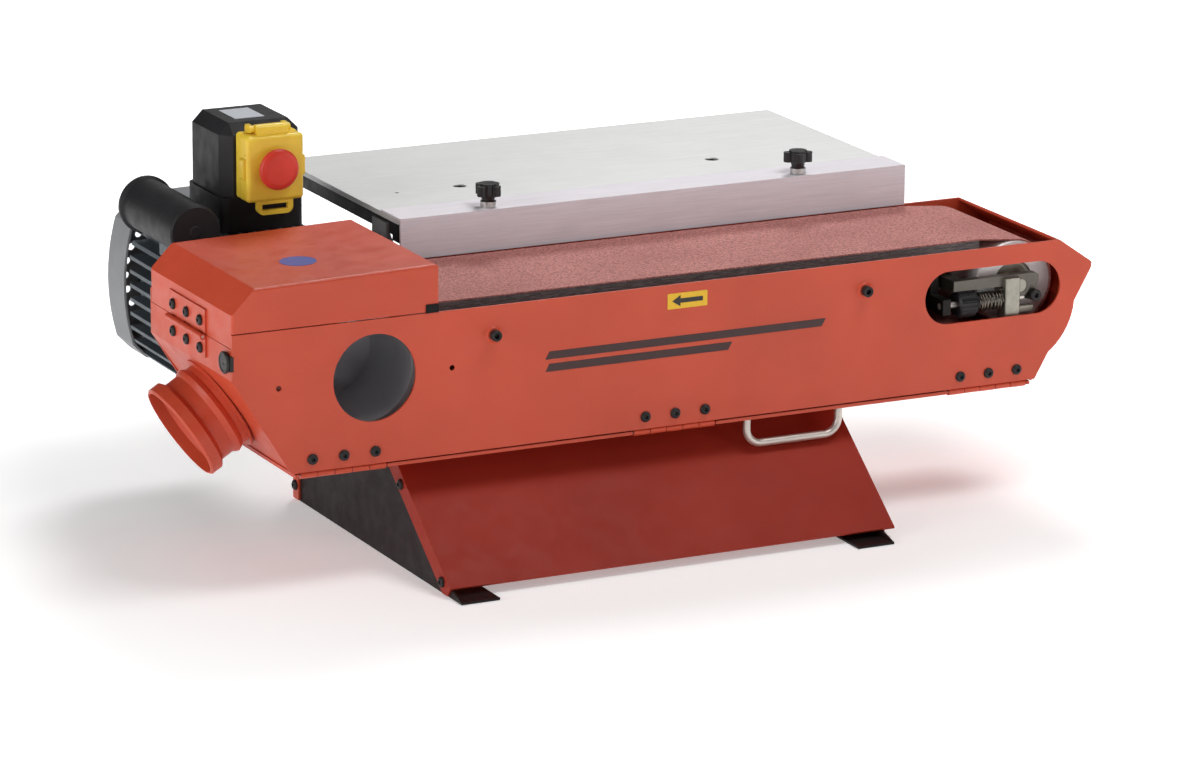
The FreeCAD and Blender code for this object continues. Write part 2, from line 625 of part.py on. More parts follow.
def make_platen():
    long = "platen_right - platen_left"
    steel = box(("platen_left", "belt_y", "platen_z"), (long, "belt_wide", "platen_t"))
    node(rounded(steel, 1.5,
                 lambda edge: along(edge, Vector(0, 1, 0)) and centre(edge).z > value("platen_z + 3")),
         "platen")
    pad = box(("platen_left", "belt_y", "platen_z + platen_t"), (long, "belt_wide", "pad_t"))
    top_edge = lambda edge: along(edge, Vector(0, 1, 0)) and centre(edge).z > value("platen_z + platen_t + 1")
    node(rounded(pad, 1.2, top_edge), "platen_pad")

    span = "beam_right - beam_left"
    front, back = "belt_y + 4", "depth - wall"
    top = box(("beam_left", front, "platen_z - 4"), (span + " + 8", "%s - (%s)" % (back, front), "4"))
    foot = box(("beam_left", back + " - 5", "186"), (span, "5", "platen_z - 186"))
    lip = box(("beam_left", front, "198"), (span, "4", "platen_z - 198"))
    ribs = [box((x, front, "196"), ("5", "%s - (%s)" % (back, front), "platen_z - 196"))
            for x in ("260", "450", "640")]
    posts = [rod((x, "9", "cap_z"), "6", "belt_y", ALONG_Y) for x in ("cap_left_x", "cap_right_x")]
    guides = [box(("beam_right - 60", y + " - 12", "184"), ("36", "24", "platen_z - 184"))
              for y in guide_places()]
    lug = box(("beam_right", "rod_y - 7", "rod_z - 7"), ("8", "belt_y + 13", "14"))
    stem = box(("beam_right", "belt_y + 4", "rod_z - 7"), ("8", "15", "platen_z - rod_z + 7"))
    bores = [rod(("beam_right - 70", y, "guide_z"), "6.05", "60", ALONG_X) for y in guide_places()]
    bores += [rod((x, back + " - 8", z), "3.2", "12", ALONG_Y) for x, z in beam_bolt_places()]
    bores.append(rod(("beam_right - 5", "rod_y", "rod_z"), "rod_r", "20", ALONG_X))
    node(cut(fuse(top, foot, lip, *ribs, *posts, *guides, lug, stem), *bores), "platen_beam")


def guide_places():
    return ["62", "128"]


def tangent_points(centre_a, radius_a, centre_b, radius_b, side):
    """Touching points of the common tangent of two circles seen from the front, on the left of the way."""
    line = centre_b - centre_a
    angle = math.atan2(line.z, line.x) + side * math.acos((radius_a - radius_b) / line.Length)
    way = Vector(math.cos(angle), 0, math.sin(angle))
    return centre_a + way * radius_a, centre_b + way * radius_b


def belt_loop(gap):
    """The closed loop that lies a gap outside the drum, the platen pad and the idler."""
    near = value("belt_y")
    drum = Vector(value("drum_x"), near, value("drum_z"))
    idler = Vector(value("idler_x"), near, value("idler_z"))
    drum_r, idler_r = value("drum_r") + gap, value("idler_r") + gap
    high = value("platen_z + platen_t + pad_t")
    corner = 1.2
    left = Vector(value("platen_left") + corner, near, high - corner)
    right = Vector(value("platen_right") - corner, near, high - corner)
    rims = [(drum, drum_r), (left, corner + gap), (right, corner + gap), (idler, idler_r)]
    edges = []
    first, last = tangent_points(idler, idler_r, drum, drum_r, 1)
    stops = [(first, last)]
    for (a, ra), (b, rb) in zip(rims, rims[1:]):
        stops.append(tangent_points(a, ra, b, rb, 1))
    order = [drum, left, right, idler]
    for i, (start, end) in enumerate(stops):
        edges.append(Part.LineSegment(start, end).toShape())
        middle = order[i]
        leave = stops[(i + 1) % len(stops)][0]
        out = ((end + leave) * 0.5 - middle)
        if middle in (drum, idler):
            out = Vector(-1, 0, 0) if middle == drum else Vector(1, 0, 0)
        radius = (end - middle).Length
        edges.append(Part.Arc(end, middle + out.normalize() * radius, leave).toShape())
    return Part.Face(Part.Wire(edges))


def make_belt():
    """The abrasive belt is one endless loop, so it is the outer loop less the inner one, then extruded."""
    gap = 0.05
    ring = belt_loop(gap + value("belt_t")).cut(belt_loop(gap))
    solid = ring.extrude(Vector(0, value("belt_wide"), 0))
    belt = doc.addObject("Part::Feature", "Belt")
    belt.Shape = solid.Solids[0]
    node(belt, "belt")


def make_drum():
    near, far = "belt_y - 1", "belt_y + belt_wide + 1"
    web = "belt_y + 80"
    bore = "drum_r - 5.5"
    outline = [("shaft_r + 0.02", web), ("shaft_r + 9", web), ("shaft_r + 11", web + " + 2"),
               ("shaft_r + 11", web + " + 6"), (bore, web + " + 6"), (bore, near), ("drum_r - 1", near),
               ("drum_r", near + " + 1"), ("drum_r", far + " - 1"), ("drum_r - 1", far), (bore, far),
               (bore, web + " + 14"), ("shaft_r + 9", web + " + 14"), ("shaft_r + 9", far + " + 2"),
               ("shaft_r + 0.02", far + " + 2")]
    node(turned(outline, ("drum_x", "0", "drum_z")), "drive_drum")
    head = hexagon(("drum_x", web + " - 8", "drum_z"), "9", "5", ALONG_Y)
    washer = rod(("drum_x", web + " - 3", "drum_z"), "14", "3", ALONG_Y)
    shank = rod(("drum_x", web + " - 3", "drum_z"), "4", "25", ALONG_Y)
    node(fuse(head, washer, shank), "drum_bolt")

    core = rod(("drum_x", web, "drum_z"), "shaft_r", "395 - (%s)" % web, ALONG_Y)
    iron = rod(("drum_x", "236", "drum_z"), "35.4", "92", ALONG_Y)
    shoulder = rod(("drum_x", "216", "drum_z"), "13", "130", ALONG_Y)
    thread = rod(("drum_x", web + " - 1", "drum_z"), "4", "24", ALONG_Y)
    node(cut(fuse(core, iron, shoulder), thread), "rotor_shaft")


def make_idler():
    near, far = "belt_y - 0.5", "belt_y + belt_wide + 0.5"
    seat = "bearing_r"
    bore = "axle_r + 4"
    start = near + " + 4"
    stop = far + " - 4"
    outline = [("idler_r - 1.5", near), ("idler_r", near + " + 1.5"), ("idler_r", far + " - 1.5"),
               ("idler_r - 1.5", far), (seat, far), (seat, "%s - bearing_wide" % stop),
               (bore, "%s - bearing_wide" % stop),
               (bore, "%s + bearing_wide" % start), (seat, "%s + bearing_wide" % start), (seat, near)]
    node(turned(outline, ("idler_x", "0", "idler_z")), "idler_roller")
    rings = []
    for y in (start, "%s - bearing_wide" % stop):
        ring = rod(("idler_x", y, "idler_z"), "bearing_r - 0.02", "bearing_wide", ALONG_Y)
        hole = rod(("idler_x", y + " - 1", "idler_z"), "axle_r + 0.02", "bearing_wide + 2", ALONG_Y)
        groove = cut(rod(("idler_x", y + " - 1", "idler_z"), "bearing_r - 3.6", "2", ALONG_Y),
                     rod(("idler_x", y + " - 1", "idler_z"), "axle_r + 3.6", "2", ALONG_Y))
        rings.append(cut(ring, hole, groove))
    node(group(rings), "idler_bearings")
    node(rod(("idler_x", "10.5", "idler_z"), "axle_r", "166", ALONG_Y), "idler_axle")


def make_tension_unit():
    front_bar = box(("703", "10", "arm_z"), ("88", "8", "arm_high"))
    front = rounded(front_bar, 4, lambda edge: along(edge, Vector(0, 1, 0)) and centre(edge).x > 790)
    rear_y = "belt_y + belt_wide + 3.5"
    rear = box(("703", rear_y, "arm_z"), ("84", "8", "arm_high"))
    cross = box(("703", "10", "arm_z"), ("12", "belt_y + belt_wide + 1.5", "arm_high"))
    bosses = [rod(("idler_x", y, "idler_z"), "axle_boss_r", "8", ALONG_Y) for y in ("10", rear_y)]
    lug = box(("track_x - 5", "12.2", "track_z - 4.4"), ("9.5", "5.8", "arm_z - track_z + 5.4"))
    guides = [rod(("beam_right - 62", y, "guide_z"), "6", "80", ALONG_X) for y in guide_places()]
    bores = [rod(("idler_x", "5", "idler_z"), "axle_r + 0.01", "180", ALONG_Y),
             rod(("track_x", "5", "track_z"), "3", "16", ALONG_Y),
             rod(("690", "rod_y", "rod_z"), "knob_r + 0.8", "66", ALONG_X),
             rod(("750", "rod_y", "rod_z"), "rod_r + 0.6", "32", ALONG_X)]
    node(cut(fuse(front, rear, cross, lug, *bosses, *guides), *bores), "tension_carriage")

    low = box(("block_x", "5", "164.5"), ("block_long", "15", "23.5"))
    face = box(("block_x", "5", "186"), ("block_long", "4.9", "15"))
    toe = box(("block_x", "10", "167"), ("32", "7", "6"))
    slim = rounded(fuse(low, face), 1.6, lambda edge: along(edge, Vector(0, 0, 1)) and centre(edge).y < 6)
    thread = rod(("block_x - 5", "rod_y", "rod_z"), "rod_r + 0.1", "30", ALONG_X)
    around_boss = rod(("idler_x", "9.95", "idler_z"), "axle_boss_r + 0.1", "20", ALONG_Y)
    node(cut(fuse(slim, toe), thread, around_boss), "tracking_block")

    head = turned([("0", "3"), ("2.3", "3"), ("2.3", "0"), ("4.6", "0"), ("5.4", "1"), ("5.4", "7.2"),
                   ("3", "7.2"), ("3", "13"), ("0", "13")], ("track_x", "4.9", "track_z"))
    node(head, "tracking_screw")
    node(rod(("beam_right", "rod_y", "rod_z"), "rod_r", "rod_long", ALONG_X), "tension_rod")

    grip = turned([("rod_r + 0.05", "0.5"), ("knob_r - 2", "0"), ("knob_r", "1.5"),
                   ("knob_r", "knob_long - 4"),
                   ("knob_r - 3.5", "knob_long"), ("rod_r + 0.05", "knob_long")],
                  ("knob_x", "rod_y", "rod_z"), "x")
    ribs = []
    for i in range(20):
        angle = math.radians(18 * i)
        spot = ("knob_x - 1", "rod_y + (knob_r + 0.3)*%.6f" % math.cos(angle),
                "rod_z + (knob_r + 0.3)*%.6f" % math.sin(angle))
        ribs.append(rod(spot, "0.9", "knob_long - 3", ALONG_X))
    node(cut(grip, *ribs), "tension_knob")

    turns = 6
    coil = doc.addObject("Part::Helix", "CoilPath")
    bind(coil, "Radius", "knob_r - 4.3")
    bind(coil, "Pitch", "(spring_long - 3)/%d" % turns)
    bind(coil, "Height", "spring_long - 3")
    wire = doc.addObject("Part::Circle", "Wire")
    wire.Radius = 1
    wire.Placement = Placement(Vector(value("knob_r - 4.3"), 0, 0), Rotation(Vector(1, 0, 0), 90))
    bind(wire, "Placement.Base.x", "knob_r - 4.3")
    spring = doc.addObject("Part::Sweep", "Spring")
    spring.Sections = [wire]
    spring.Spine = (coil, ["Edge1"])
    spring.Solid = True
    spring.Frenet = True
    place(spring, ("spring_x + 1.4", "rod_y", "rod_z"), ALONG_X)
    node(spring, "tension_spring")


# ---- motor ------------------------------------------------------------------------------------------

def motor_square(half, corner, start, long):
    """A rounded square prism about the motor's axis."""
    block = box(("drum_x - (%s)" % half, start, "drum_z - (%s)" % half),
                ("2*(%s)" % half, long, "2*(%s)" % half))
    return rounded(block, value(corner), lambda edge: along(edge, Vector(0, 1, 0)))


def cowl_block(inset, start, long):
    """A prism with four bulging sides and slanted corners about the motor's axis."""
    reach = "cowl_bulge_r - motor_half"
    radius = "cowl_bulge_r - (%s)" % inset
    spots = [("drum_x + " + reach, "drum_z"), ("drum_x - (%s)" % reach, "drum_z"),
             ("drum_x", "drum_z + " + reach), ("drum_x", "drum_z - (%s)" % reach)]
    sides = [rod((x, start, z), radius, long, ALONG_Y) for x, z in spots]
    slant = "cowl_slant - (%s)" % inset
    diamond = box(("drum_x - (%s)*%.9f" % (slant, math.sqrt(2)), start, "drum_z"),
                  ("2*(%s)" % slant, long, "2*(%s)" % slant), Rotation(Vector(0, 1, 0), 45))
    common = doc.addObject("Part::MultiCommon", "CowlBlock")
    common.Shapes = [*sides, diamond]
    return common


def make_motor():
    shield_end = "shield_y + shield_t"
    disc = rod(("drum_x", "shield_y", "drum_z"), "72", "shield_t", ALONG_Y)
    hub = rod(("drum_x", shield_end, "drum_z"), "24", "18", ALONG_Y)
    register = cut(rod(("drum_x", shield_end, "drum_z"), "57.9", "4", ALONG_Y),
                   rod(("drum_x", shield_end, "drum_z"), "52", "4", ALONG_Y))
    bore = rod(("drum_x", "shield_y - 1", "drum_z"), "14", "40", ALONG_Y)
    seat = rod(("drum_x", "shield_y + 18", "drum_z"), "17.5", "20", ALONG_Y)
    holes = [rod((x, "shield_y - 1", z), "3.2", "shield_t + 2", ALONG_Y) for x, z in motor_bolt_places()]
    node(cut(fuse(disc, hub, register), bore, seat, *holes), "motor_end_shield")

    long = "stator_end - (%s)" % shield_end
    prism = motor_square("motor_half", "motor_corner", shield_end, long)
    barrel = rod(("drum_x", shield_end, "drum_z"), "64", long, ALONG_Y)
    fins = [box(("drum_x - 90", shield_end, "drum_z + %g" % z),
                ("180", "stator_end - (%s) - 6" % shield_end, "3.4"))
            for z in (-62, -49, -36, -23, -10, 3, 16, 29, 42, 55)]
    uprights = [box(("drum_x + %g" % x, shield_end, "drum_z - 90"),
                    ("3.4", "stator_end - (%s) - 6" % shield_end, "180"))
                for x in (-38, -25, -12, 1, 14, 27, 40)]
    corners = [rod(("drum_x + %d" % (sx * 49), shield_end, "drum_z + %d" % (sz * 49)), "9", long, ALONG_Y)
               for sx in (-1, 1) for sz in (-1, 1)]
    common = doc.addObject("Part::MultiCommon", "FinnedBlock")
    common.Shapes = [fuse(*fins, *uprights), prism]
    seat_pad = box(("box_x + 4", "box_y + 3", "drum_z + 55"),
                   ("box_wide - 8", "box_deep - 6", "motor_half - 55"))
    cradle = box(("cap_x - 2", "capacitor_y + 30", "drum_z + 52"), ("40", "50", "14"))
    hollow = rod(("drum_x", shield_end + " - 1", "drum_z"), "58", "152", ALONG_Y)
    rear_seat = rod(("drum_x", "stator_end - 25", "drum_z"), "17.5", "12.1", ALONG_Y)
    rear_bore = rod(("drum_x", "stator_end - 30", "drum_z"), "14", "60", ALONG_Y)
    can = rod(("cap_x", "capacitor_y - 5", "capacitor_z"), "capacitor_r + 0.05", "capacitor_long + 10",
              ALONG_Y)
    node(cut(fuse(barrel, common, seat_pad, cradle, *corners), hollow, rear_seat, rear_bore, can),
         "motor_housing")

    core = cut(rod(("drum_x", "240", "drum_z"), "57.95", "84", ALONG_Y),
               rod(("drum_x", "230", "drum_z"), "36", "110", ALONG_Y))
    windings = [cut(rod(("drum_x", y, "drum_z"), "53", "14", ALONG_Y),
                    rod(("drum_x", y + " - 5", "drum_z"), "40", "30", ALONG_Y)) for y in ("226", "324")]
    node(fuse(core, *windings), "stator_core")

    rings = []
    for y in ("shield_y + 18", "stator_end - 25"):
        ring = rod(("drum_x", y, "drum_z"), "17.48", "12", ALONG_Y)
        rings.append(cut(ring, rod(("drum_x", y + " - 1", "drum_z"), "shaft_r + 0.02", "14", ALONG_Y)))
    node(group(rings), "motor_bearings")

    hub = rod(("drum_x", "384", "drum_z"), "16", "10", ALONG_Y)
    disc = rod(("drum_x", "384", "drum_z"), "52", "2", ALONG_Y)
    blades = [box(("drum_x", "386", "drum_z"), ("54", "16", "2.4"),
                  Rotation(Vector(0, 1, 0), 45 * i)) for i in range(8)]
    core = rod(("drum_x", "380", "drum_z"), "shaft_r + 0.01", "15", ALONG_Y)
    inner = rod(("drum_x", "395", "drum_z"), "18", "10", ALONG_Y)
    node(cut(fuse(hub, disc, *blades), core, inner), "cooling_fan")

    shell = cowl_block("0", "cowl_y", "cowl_end - cowl_y")
    inside = cowl_block("2.2", "cowl_y - 1", "cowl_end - cowl_y - 1.4")
    vents = []
    for reach, count in ((20, 10), (33, 16), (46, 22), (60, 28)):
        for i in range(count):
            angle = 2 * math.pi * i / count
            spot = ("drum_x + %.6f" % (reach * math.cos(angle)), "cowl_end - 5",
                    "drum_z + %.6f" % (reach * math.sin(angle)))
            vents.append(rod(spot, "3.4", "10", ALONG_Y))
    tabs = [rod(("drum_x + %d" % (sx * 49), "stator_end + 0.02", "drum_z + %d" % (sz * 49)), "8",
                "cowl_end - stator_end - 0.8", ALONG_Y) for sx in (-1, 1) for sz in (-1, 1)]
    node(fuse(cut(shell, inside, *vents), *tabs), "fan_cowl")

    tip = "capacitor_long"
    can = turned([("0", "0"), ("4.5", "0"), ("5.5", "0.6"), ("capacitor_r - 1.5", "0"),
                  ("capacitor_r", "1.5"),
                  ("capacitor_r", tip + " - 7"), ("capacitor_r + 2.5", tip + " - 5"),
                  ("capacitor_r + 2.5", tip + " - 1.5"), ("capacitor_r + 1", tip), ("0", tip)],
                 ("cap_x", "capacitor_y", "capacitor_z"))
    node(can, "capacitor")


# ---- switch box -------------------------------------------------------------------------------------

def upright_edge(edge):
    return along(edge, Vector(0, 0, 1))


def make_switch_box():
    wide, deep = "box_wide", "box_deep"
    foot = rounded(box(("box_x - 1.5", "box_y - 1.5", "box_z"),
                       (wide + " + 3", deep + " + 3", "box_split - box_z")), 9,
                   upright_edge)
    space = box(("box_x + 3", "box_y + 3", "box_z + 3"), ("box_wide - 6", "box_deep - 6", "60"))
    gland_hole = rod(("box_x + box_wide - 5", "box_y + box_deep/2 + 16", "box_z + 17"), "8", "12",
                     ALONG_X)
    node(cut(foot, space, gland_hole), "terminal_box")

    slanted_edge = lambda edge: upright_edge(edge) or centre(edge).z > value("box_top") - 3.5
    lid = bevelled(box(("box_x", "box_y", "box_split"), (wide, deep, "box_top - box_split")), "box_bevel",
                   slanted_edge)
    room = bevelled(box(("box_x + 3", "box_y + 3", "box_split - 1"),
                        ("box_wide - 6", "box_deep - 6", "box_top - box_split - 2")), "box_bevel - 1.76",
                    slanted_edge)
    vents = [box(("box_x", "box_y + %g" % (20 + 6 * i), "box_top - 10.5"), ("6", "2.4", "11"),
                 Rotation(Vector(0, 1, 0), 45)) for i in range(6)]
    mouth = box(("switch_x - 21", "box_y - 4", "switch_z + 8"), ("42", "10", "switch_high - 16"))
    node(cut(lid, room, mouth, *vents), "switch_cover")

    half = "switch_wide/2"
    frame = box(("switch_x - " + half, "box_y - frame_deep", "switch_z"),
                ("switch_wide", "frame_deep - 0.1", "switch_high"))
    frame = rounded(frame, 3, lambda edge: along(edge, Vector(0, 1, 0)))
    plug = box(("switch_x - 20.5", "box_y - 2", "switch_z + 9"), ("41", "30", "switch_high - 18"))
    ears = []
    for dx in (0, 34):
        x = "switch_x - 19 + %g" % dx
        ears.append(rod((x, "flap_axis_y", "flap_axis_z"), "3.2", "4", ALONG_X))
        ears.append(box((x, "flap_axis_y", "flap_axis_z - 3.2"), ("4", "10", "6.4")))
        ears.append(box((x, "box_y - frame_deep", "switch_z + switch_high - 3"),
                        ("4", "frame_deep - 0.2", "8")))
    well = box(("switch_x - 16", "box_y - frame_deep - 1", "mushroom_z - 21"), ("32", "19", "42"))
    pivot = rod(("switch_x - 30", "flap_axis_y", "flap_axis_z"), "1.55", "60", ALONG_X)
    node(cut(fuse(frame, plug, *ears), well, pivot), "switch_frame")

    shell = box(("switch_x - " + half, "flap_y", "switch_z - 0.5"),
                ("switch_wide", "flap_deep - 0.4", "switch_high"))
    shell = rounded(shell, 3.5,
                    lambda edge: along(edge, Vector(0, 1, 0)) or centre(edge).y < value("flap_y") + 0.2)
    hollow = box(("switch_x - 22", "flap_y + 5", "switch_z + 4"), ("44", "20", "switch_high - 9"))
    block = box(("switch_x - 14.6", "flap_y + 6", "switch_z + switch_high - 5"), ("29.2", "10.8", "13"))
    block = rounded(block, 4,
                    lambda edge: along(edge, Vector(1, 0, 0)) and centre(edge).z > value("flap_axis_z"))
    axle = rod(("switch_x - 18.6", "flap_axis_y", "flap_axis_z"), "1.5", "37.2", ALONG_X)
    lobes = rounded(box(("switch_x - switch_wide/2 - 2.6", "flap_y + 4", "mushroom_z - 10"),
                        ("switch_wide + 5.2", "9", "19")), 2.4, lambda edge: along(edge, Vector(0, 1, 0)))
    loop = rounded(box(("switch_x - 17", "flap_y + 1.5", "switch_z - 12.5"), ("34", "5", "14.5")), 6.5,
                   lambda edge: along(edge, Vector(0, 1, 0)) and centre(edge).z < value("switch_z"))
    eye = box(("switch_x - 12.5", "flap_y - 4", "switch_z - 8.4"), ("25", "16", "5.4"))
    stem_hole = rod(("switch_x", "flap_y - 5", "mushroom_z"), "8.1", "20", ALONG_Y)
    node(cut(fuse(shell, lobes, block, axle, loop), hollow, eye, stem_hole), "switch_flap")

    dome = turned([("0", "2.6"), ("13.5", "2.6"), ("16.8", "3.4"), ("mushroom_r", "5"),
                   ("mushroom_r", "7"),
                   ("mushroom_r - 1.5", "8.2"), ("8", "8.2"), ("8", "20.9"), ("0", "20.9")],
                  ("switch_x", "flap_y - 13", "mushroom_z"))
    node(dome, "stop_mushroom")
    key = rounded(box(("switch_x - 8", "box_y - 13", "mushroom_z - 9"), ("16", "12", "18")), 2,
                  lambda edge: along(edge, Vector(0, 1, 0)))
    node(key, "start_button")

    gland_y, gland_z = "box_y + box_deep/2 + 16", "box_z + 17"
    start = "box_x + box_wide + 1.55"
    collar = hexagon((start, gland_y, gland_z), "11", "6", ALONG_X)
    thread = rod(("box_x + box_wide - 6", gland_y, gland_z), "7.9", "12", ALONG_X)
    nose = cone(("box_x + box_wide + 7.5", gland_y, gland_z), "10", "7", "12", ALONG_X)
    passage = rod(("box_x + box_wide - 10", gland_y, gland_z), "3.6", "40", ALONG_X)
    node(cut(fuse(collar, thread, nose), passage), "cable_gland")


# ---- table ------------------------------------------------------------------------------------------

def wing_places():
    return ["wing_x", "wing_x + wing_pitch"]


def make_table():
    top = box(("table_x", "table_y", "table_z"), ("table_long", "table_back - table_y", "table_t"))
    top = rounded(top, 2.5, upright_edge)
    face = "table_z + table_t"
    sinks = [cone((x, "272", face + " - 4"), "2.2", "6.8", "4.2", UPRIGHT) for x in ("337.5", "594.5")]
    holes = [rod((x, "wing_y", "table_z - 1"), "3.1", "12") for x in wing_places()]
    holes += [rod(("275", "271", "table_z - 1"), "2", "12")]
    holes += [rod((x, "272", "table_z - 1"), "2.2", "12") for x in ("337.5", "594.5")]
    node(cut(top, *sinks, *holes), "table_plate")

    rails = []
    brackets = []
    far = "table_x + table_long"
    for x, block_x, plate_x in (("table_x + 1", "table_x + 1", "table_x + 1 - bracket_t"),
                                (far + " - 1 - rail_t", far + " - 13", far + " - 1")):
        bar = box((x, "table_y + 0.5", "table_z - rail_high"),
                  ("rail_t", "table_back - table_y - 8", "rail_high"))
        end = box((block_x, "table_y + 0.5", "table_z - 17"), ("12", "14", "17"))
        rails.append(fuse(bar, end))
        outline = [("tilt_y - 18", "table_z - 3"), ("tilt_y - 18", "tilt_z"), ("tilt_y - 11", "tilt_z - 10"),
                   ("tilt_y + 7", "tilt_z - 10"), ("tilt_y + 13", "tilt_z - 3"),
                   ("tilt_y + 13", "table_z - 3")]
        cheek = plate("end", outline, plate_x, "bracket_t")
        hole = rod((plate_x + " - 5", "tilt_y", "tilt_z"), "3.05" if x == block_x else "4.05", "20", ALONG_X)
        brackets.append(cut(cheek, hole))
    node(group(rails), "table_rails")
    node(group(brackets), "tilt_brackets")

    deep = "fence_y + fence_deep"
    corner = [("fence_y", "fence_low"), ("fence_y + fence_t", "fence_low"),
              ("fence_y + fence_t", "fence_top - fence_t"),
              (deep, "fence_top - fence_t"), (deep, "fence_top"), ("fence_y", "fence_top")]
    profile = plate("end", corner, "fence_x", "fence_long")
    slots = []
    for x in wing_places():
        slots.append(fuse(box((x + " - 3.3", "wing_y - 5", "fence_top - 6"), ("6.6", "10", "10")),
                          rod((x, "wing_y - 5", "fence_top - 6"), "3.3", "10"),
                          rod((x, "wing_y + 5", "fence_top - 6"), "3.3", "10")))
    node(cut(profile, *slots), "fence_profile")

    for side, x, first in zip(("left", "right"), wing_places(), (26.5, 71.5)):
        make_wing_knob("profile_knob_" + side, (x, "wing_y", "fence_top + 0.02"), UPRIGHT,
                       "fence_top - table_z - 1", "boss_long", first)

    screws = []
    for x in ("337.5", "594.5"):
        head = cone((x, "272", face + " - 3.9"), "2.1", "5.6", "3.2")
        shank = rod((x, "272", face + " - 12"), "2.1", "8.3")
        socket = hexagon((x, "272", face + " - 2.6"), "2.6", "3")
        screws.append(cut(fuse(head, shank), socket))
    node(group(screws), "table_screws")


def make_wing_knob(label, at, turn, stud, boss, first):
    """A four-lobed clamping knob on a steel boss whose stud goes back through what it clamps."""
    up = turn.multVec(Vector(0, 0, 1))
    foot = rod(at, "7", boss, turn)
    neck_at = shifted(at, up, boss)
    neck = cone(neck_at, "5.6", "6.6", "5.8", turn)
    head_at = shifted(neck_at, up, "5.6")
    cap = rod(head_at, "8.2", "10.6", turn)
    lobes = []
    for i in range(4):
        angle = math.radians(first + 90 * i)
        way = turn.multVec(Vector(math.cos(angle), math.sin(angle), 0))
        spot = tuple("%s + 9*%.6f" % pair for pair in zip(head_at, way))
        lobes.append(rod(spot, "4.2", "9", turn))
    thread = rod(shifted(at, up, "-(%s)" % stud), "3", "%s + 2" % stud, turn)
    node(fuse(cap, *lobes, foot, neck, thread), label)


def make_table_arms():
    arms = []
    far = "table_x + table_long"
    for side, x in (("left", "table_x + 1.3"), ("right", far + " - 1.3 - cheek_t")):
        cheek = plate("end", [("depth", "188"), ("depth + 14", "188"), ("tilt_y + 9", "tilt_z - 7"),
                              ("tilt_y + 9", "tilt_z + 5"),
                              ("tilt_y + 5", "tilt_z + 9"), ("tilt_y - 5", "tilt_z + 9"),
                              ("tilt_y - 9", "tilt_z + 5"),
                              ("depth", "226")], x, "cheek_t")
        bolts_x = "table_x + 24" if side == "left" else far + " - 24"
        tab = box((x if side == "left" else far + " - 40", "depth", "188"), ("38.7", "5", "38"))
        drills = [rod((bolts_x, "depth - 2", z), "3.2", "10", ALONG_Y) for z in ("196", "218")]
        solids = [cheek, tab]
        if side == "left":
            drills.append(rod((x + " - 5", "tilt_y", "tilt_z"), "3.05", "20", ALONG_X))
        else:
            solids.append(rod((x, "tilt_y", "tilt_z"), "4", "cheek_t + 1.3 + bracket_t", ALONG_X))
        arms.append(cut(fuse(*solids), *drills))
    node(group(arms), "table_arms")
    to_left = Rotation(Vector(0, 1, 0), -90)
    make_wing_knob("tilt_clamp_knob", ("table_x + 0.98 - bracket_t", "tilt_y", "tilt_z"), to_left,
                   "bracket_t + 6", "2.5", 46)


# ---- stand ------------------------------------------------------------------------------------------

BASE_ANGLE = math.atan2(SIZES["floor_plate_z"] - SIZES["base_low"],
                        SIZES["base_head_y"] - SIZES["base_front"])


def slanted(distance_in, end):
    """A point on the front plate's lower or upper end, some way behind its face."""
    y, z = ("base_front", "base_low") if end == "low" else ("base_head_y", "floor_plate_z")
    grow = "%s + (%s)*%.9f" % (y, distance_in,
                               math.sin(BASE_ANGLE) if end == "low" else 1 / math.sin(BASE_ANGLE))
    if end == "low":
        return (grow, "%s - (%s)*%.9f" % (z, distance_in, math.cos(BASE_ANGLE)))
    return (grow, z)


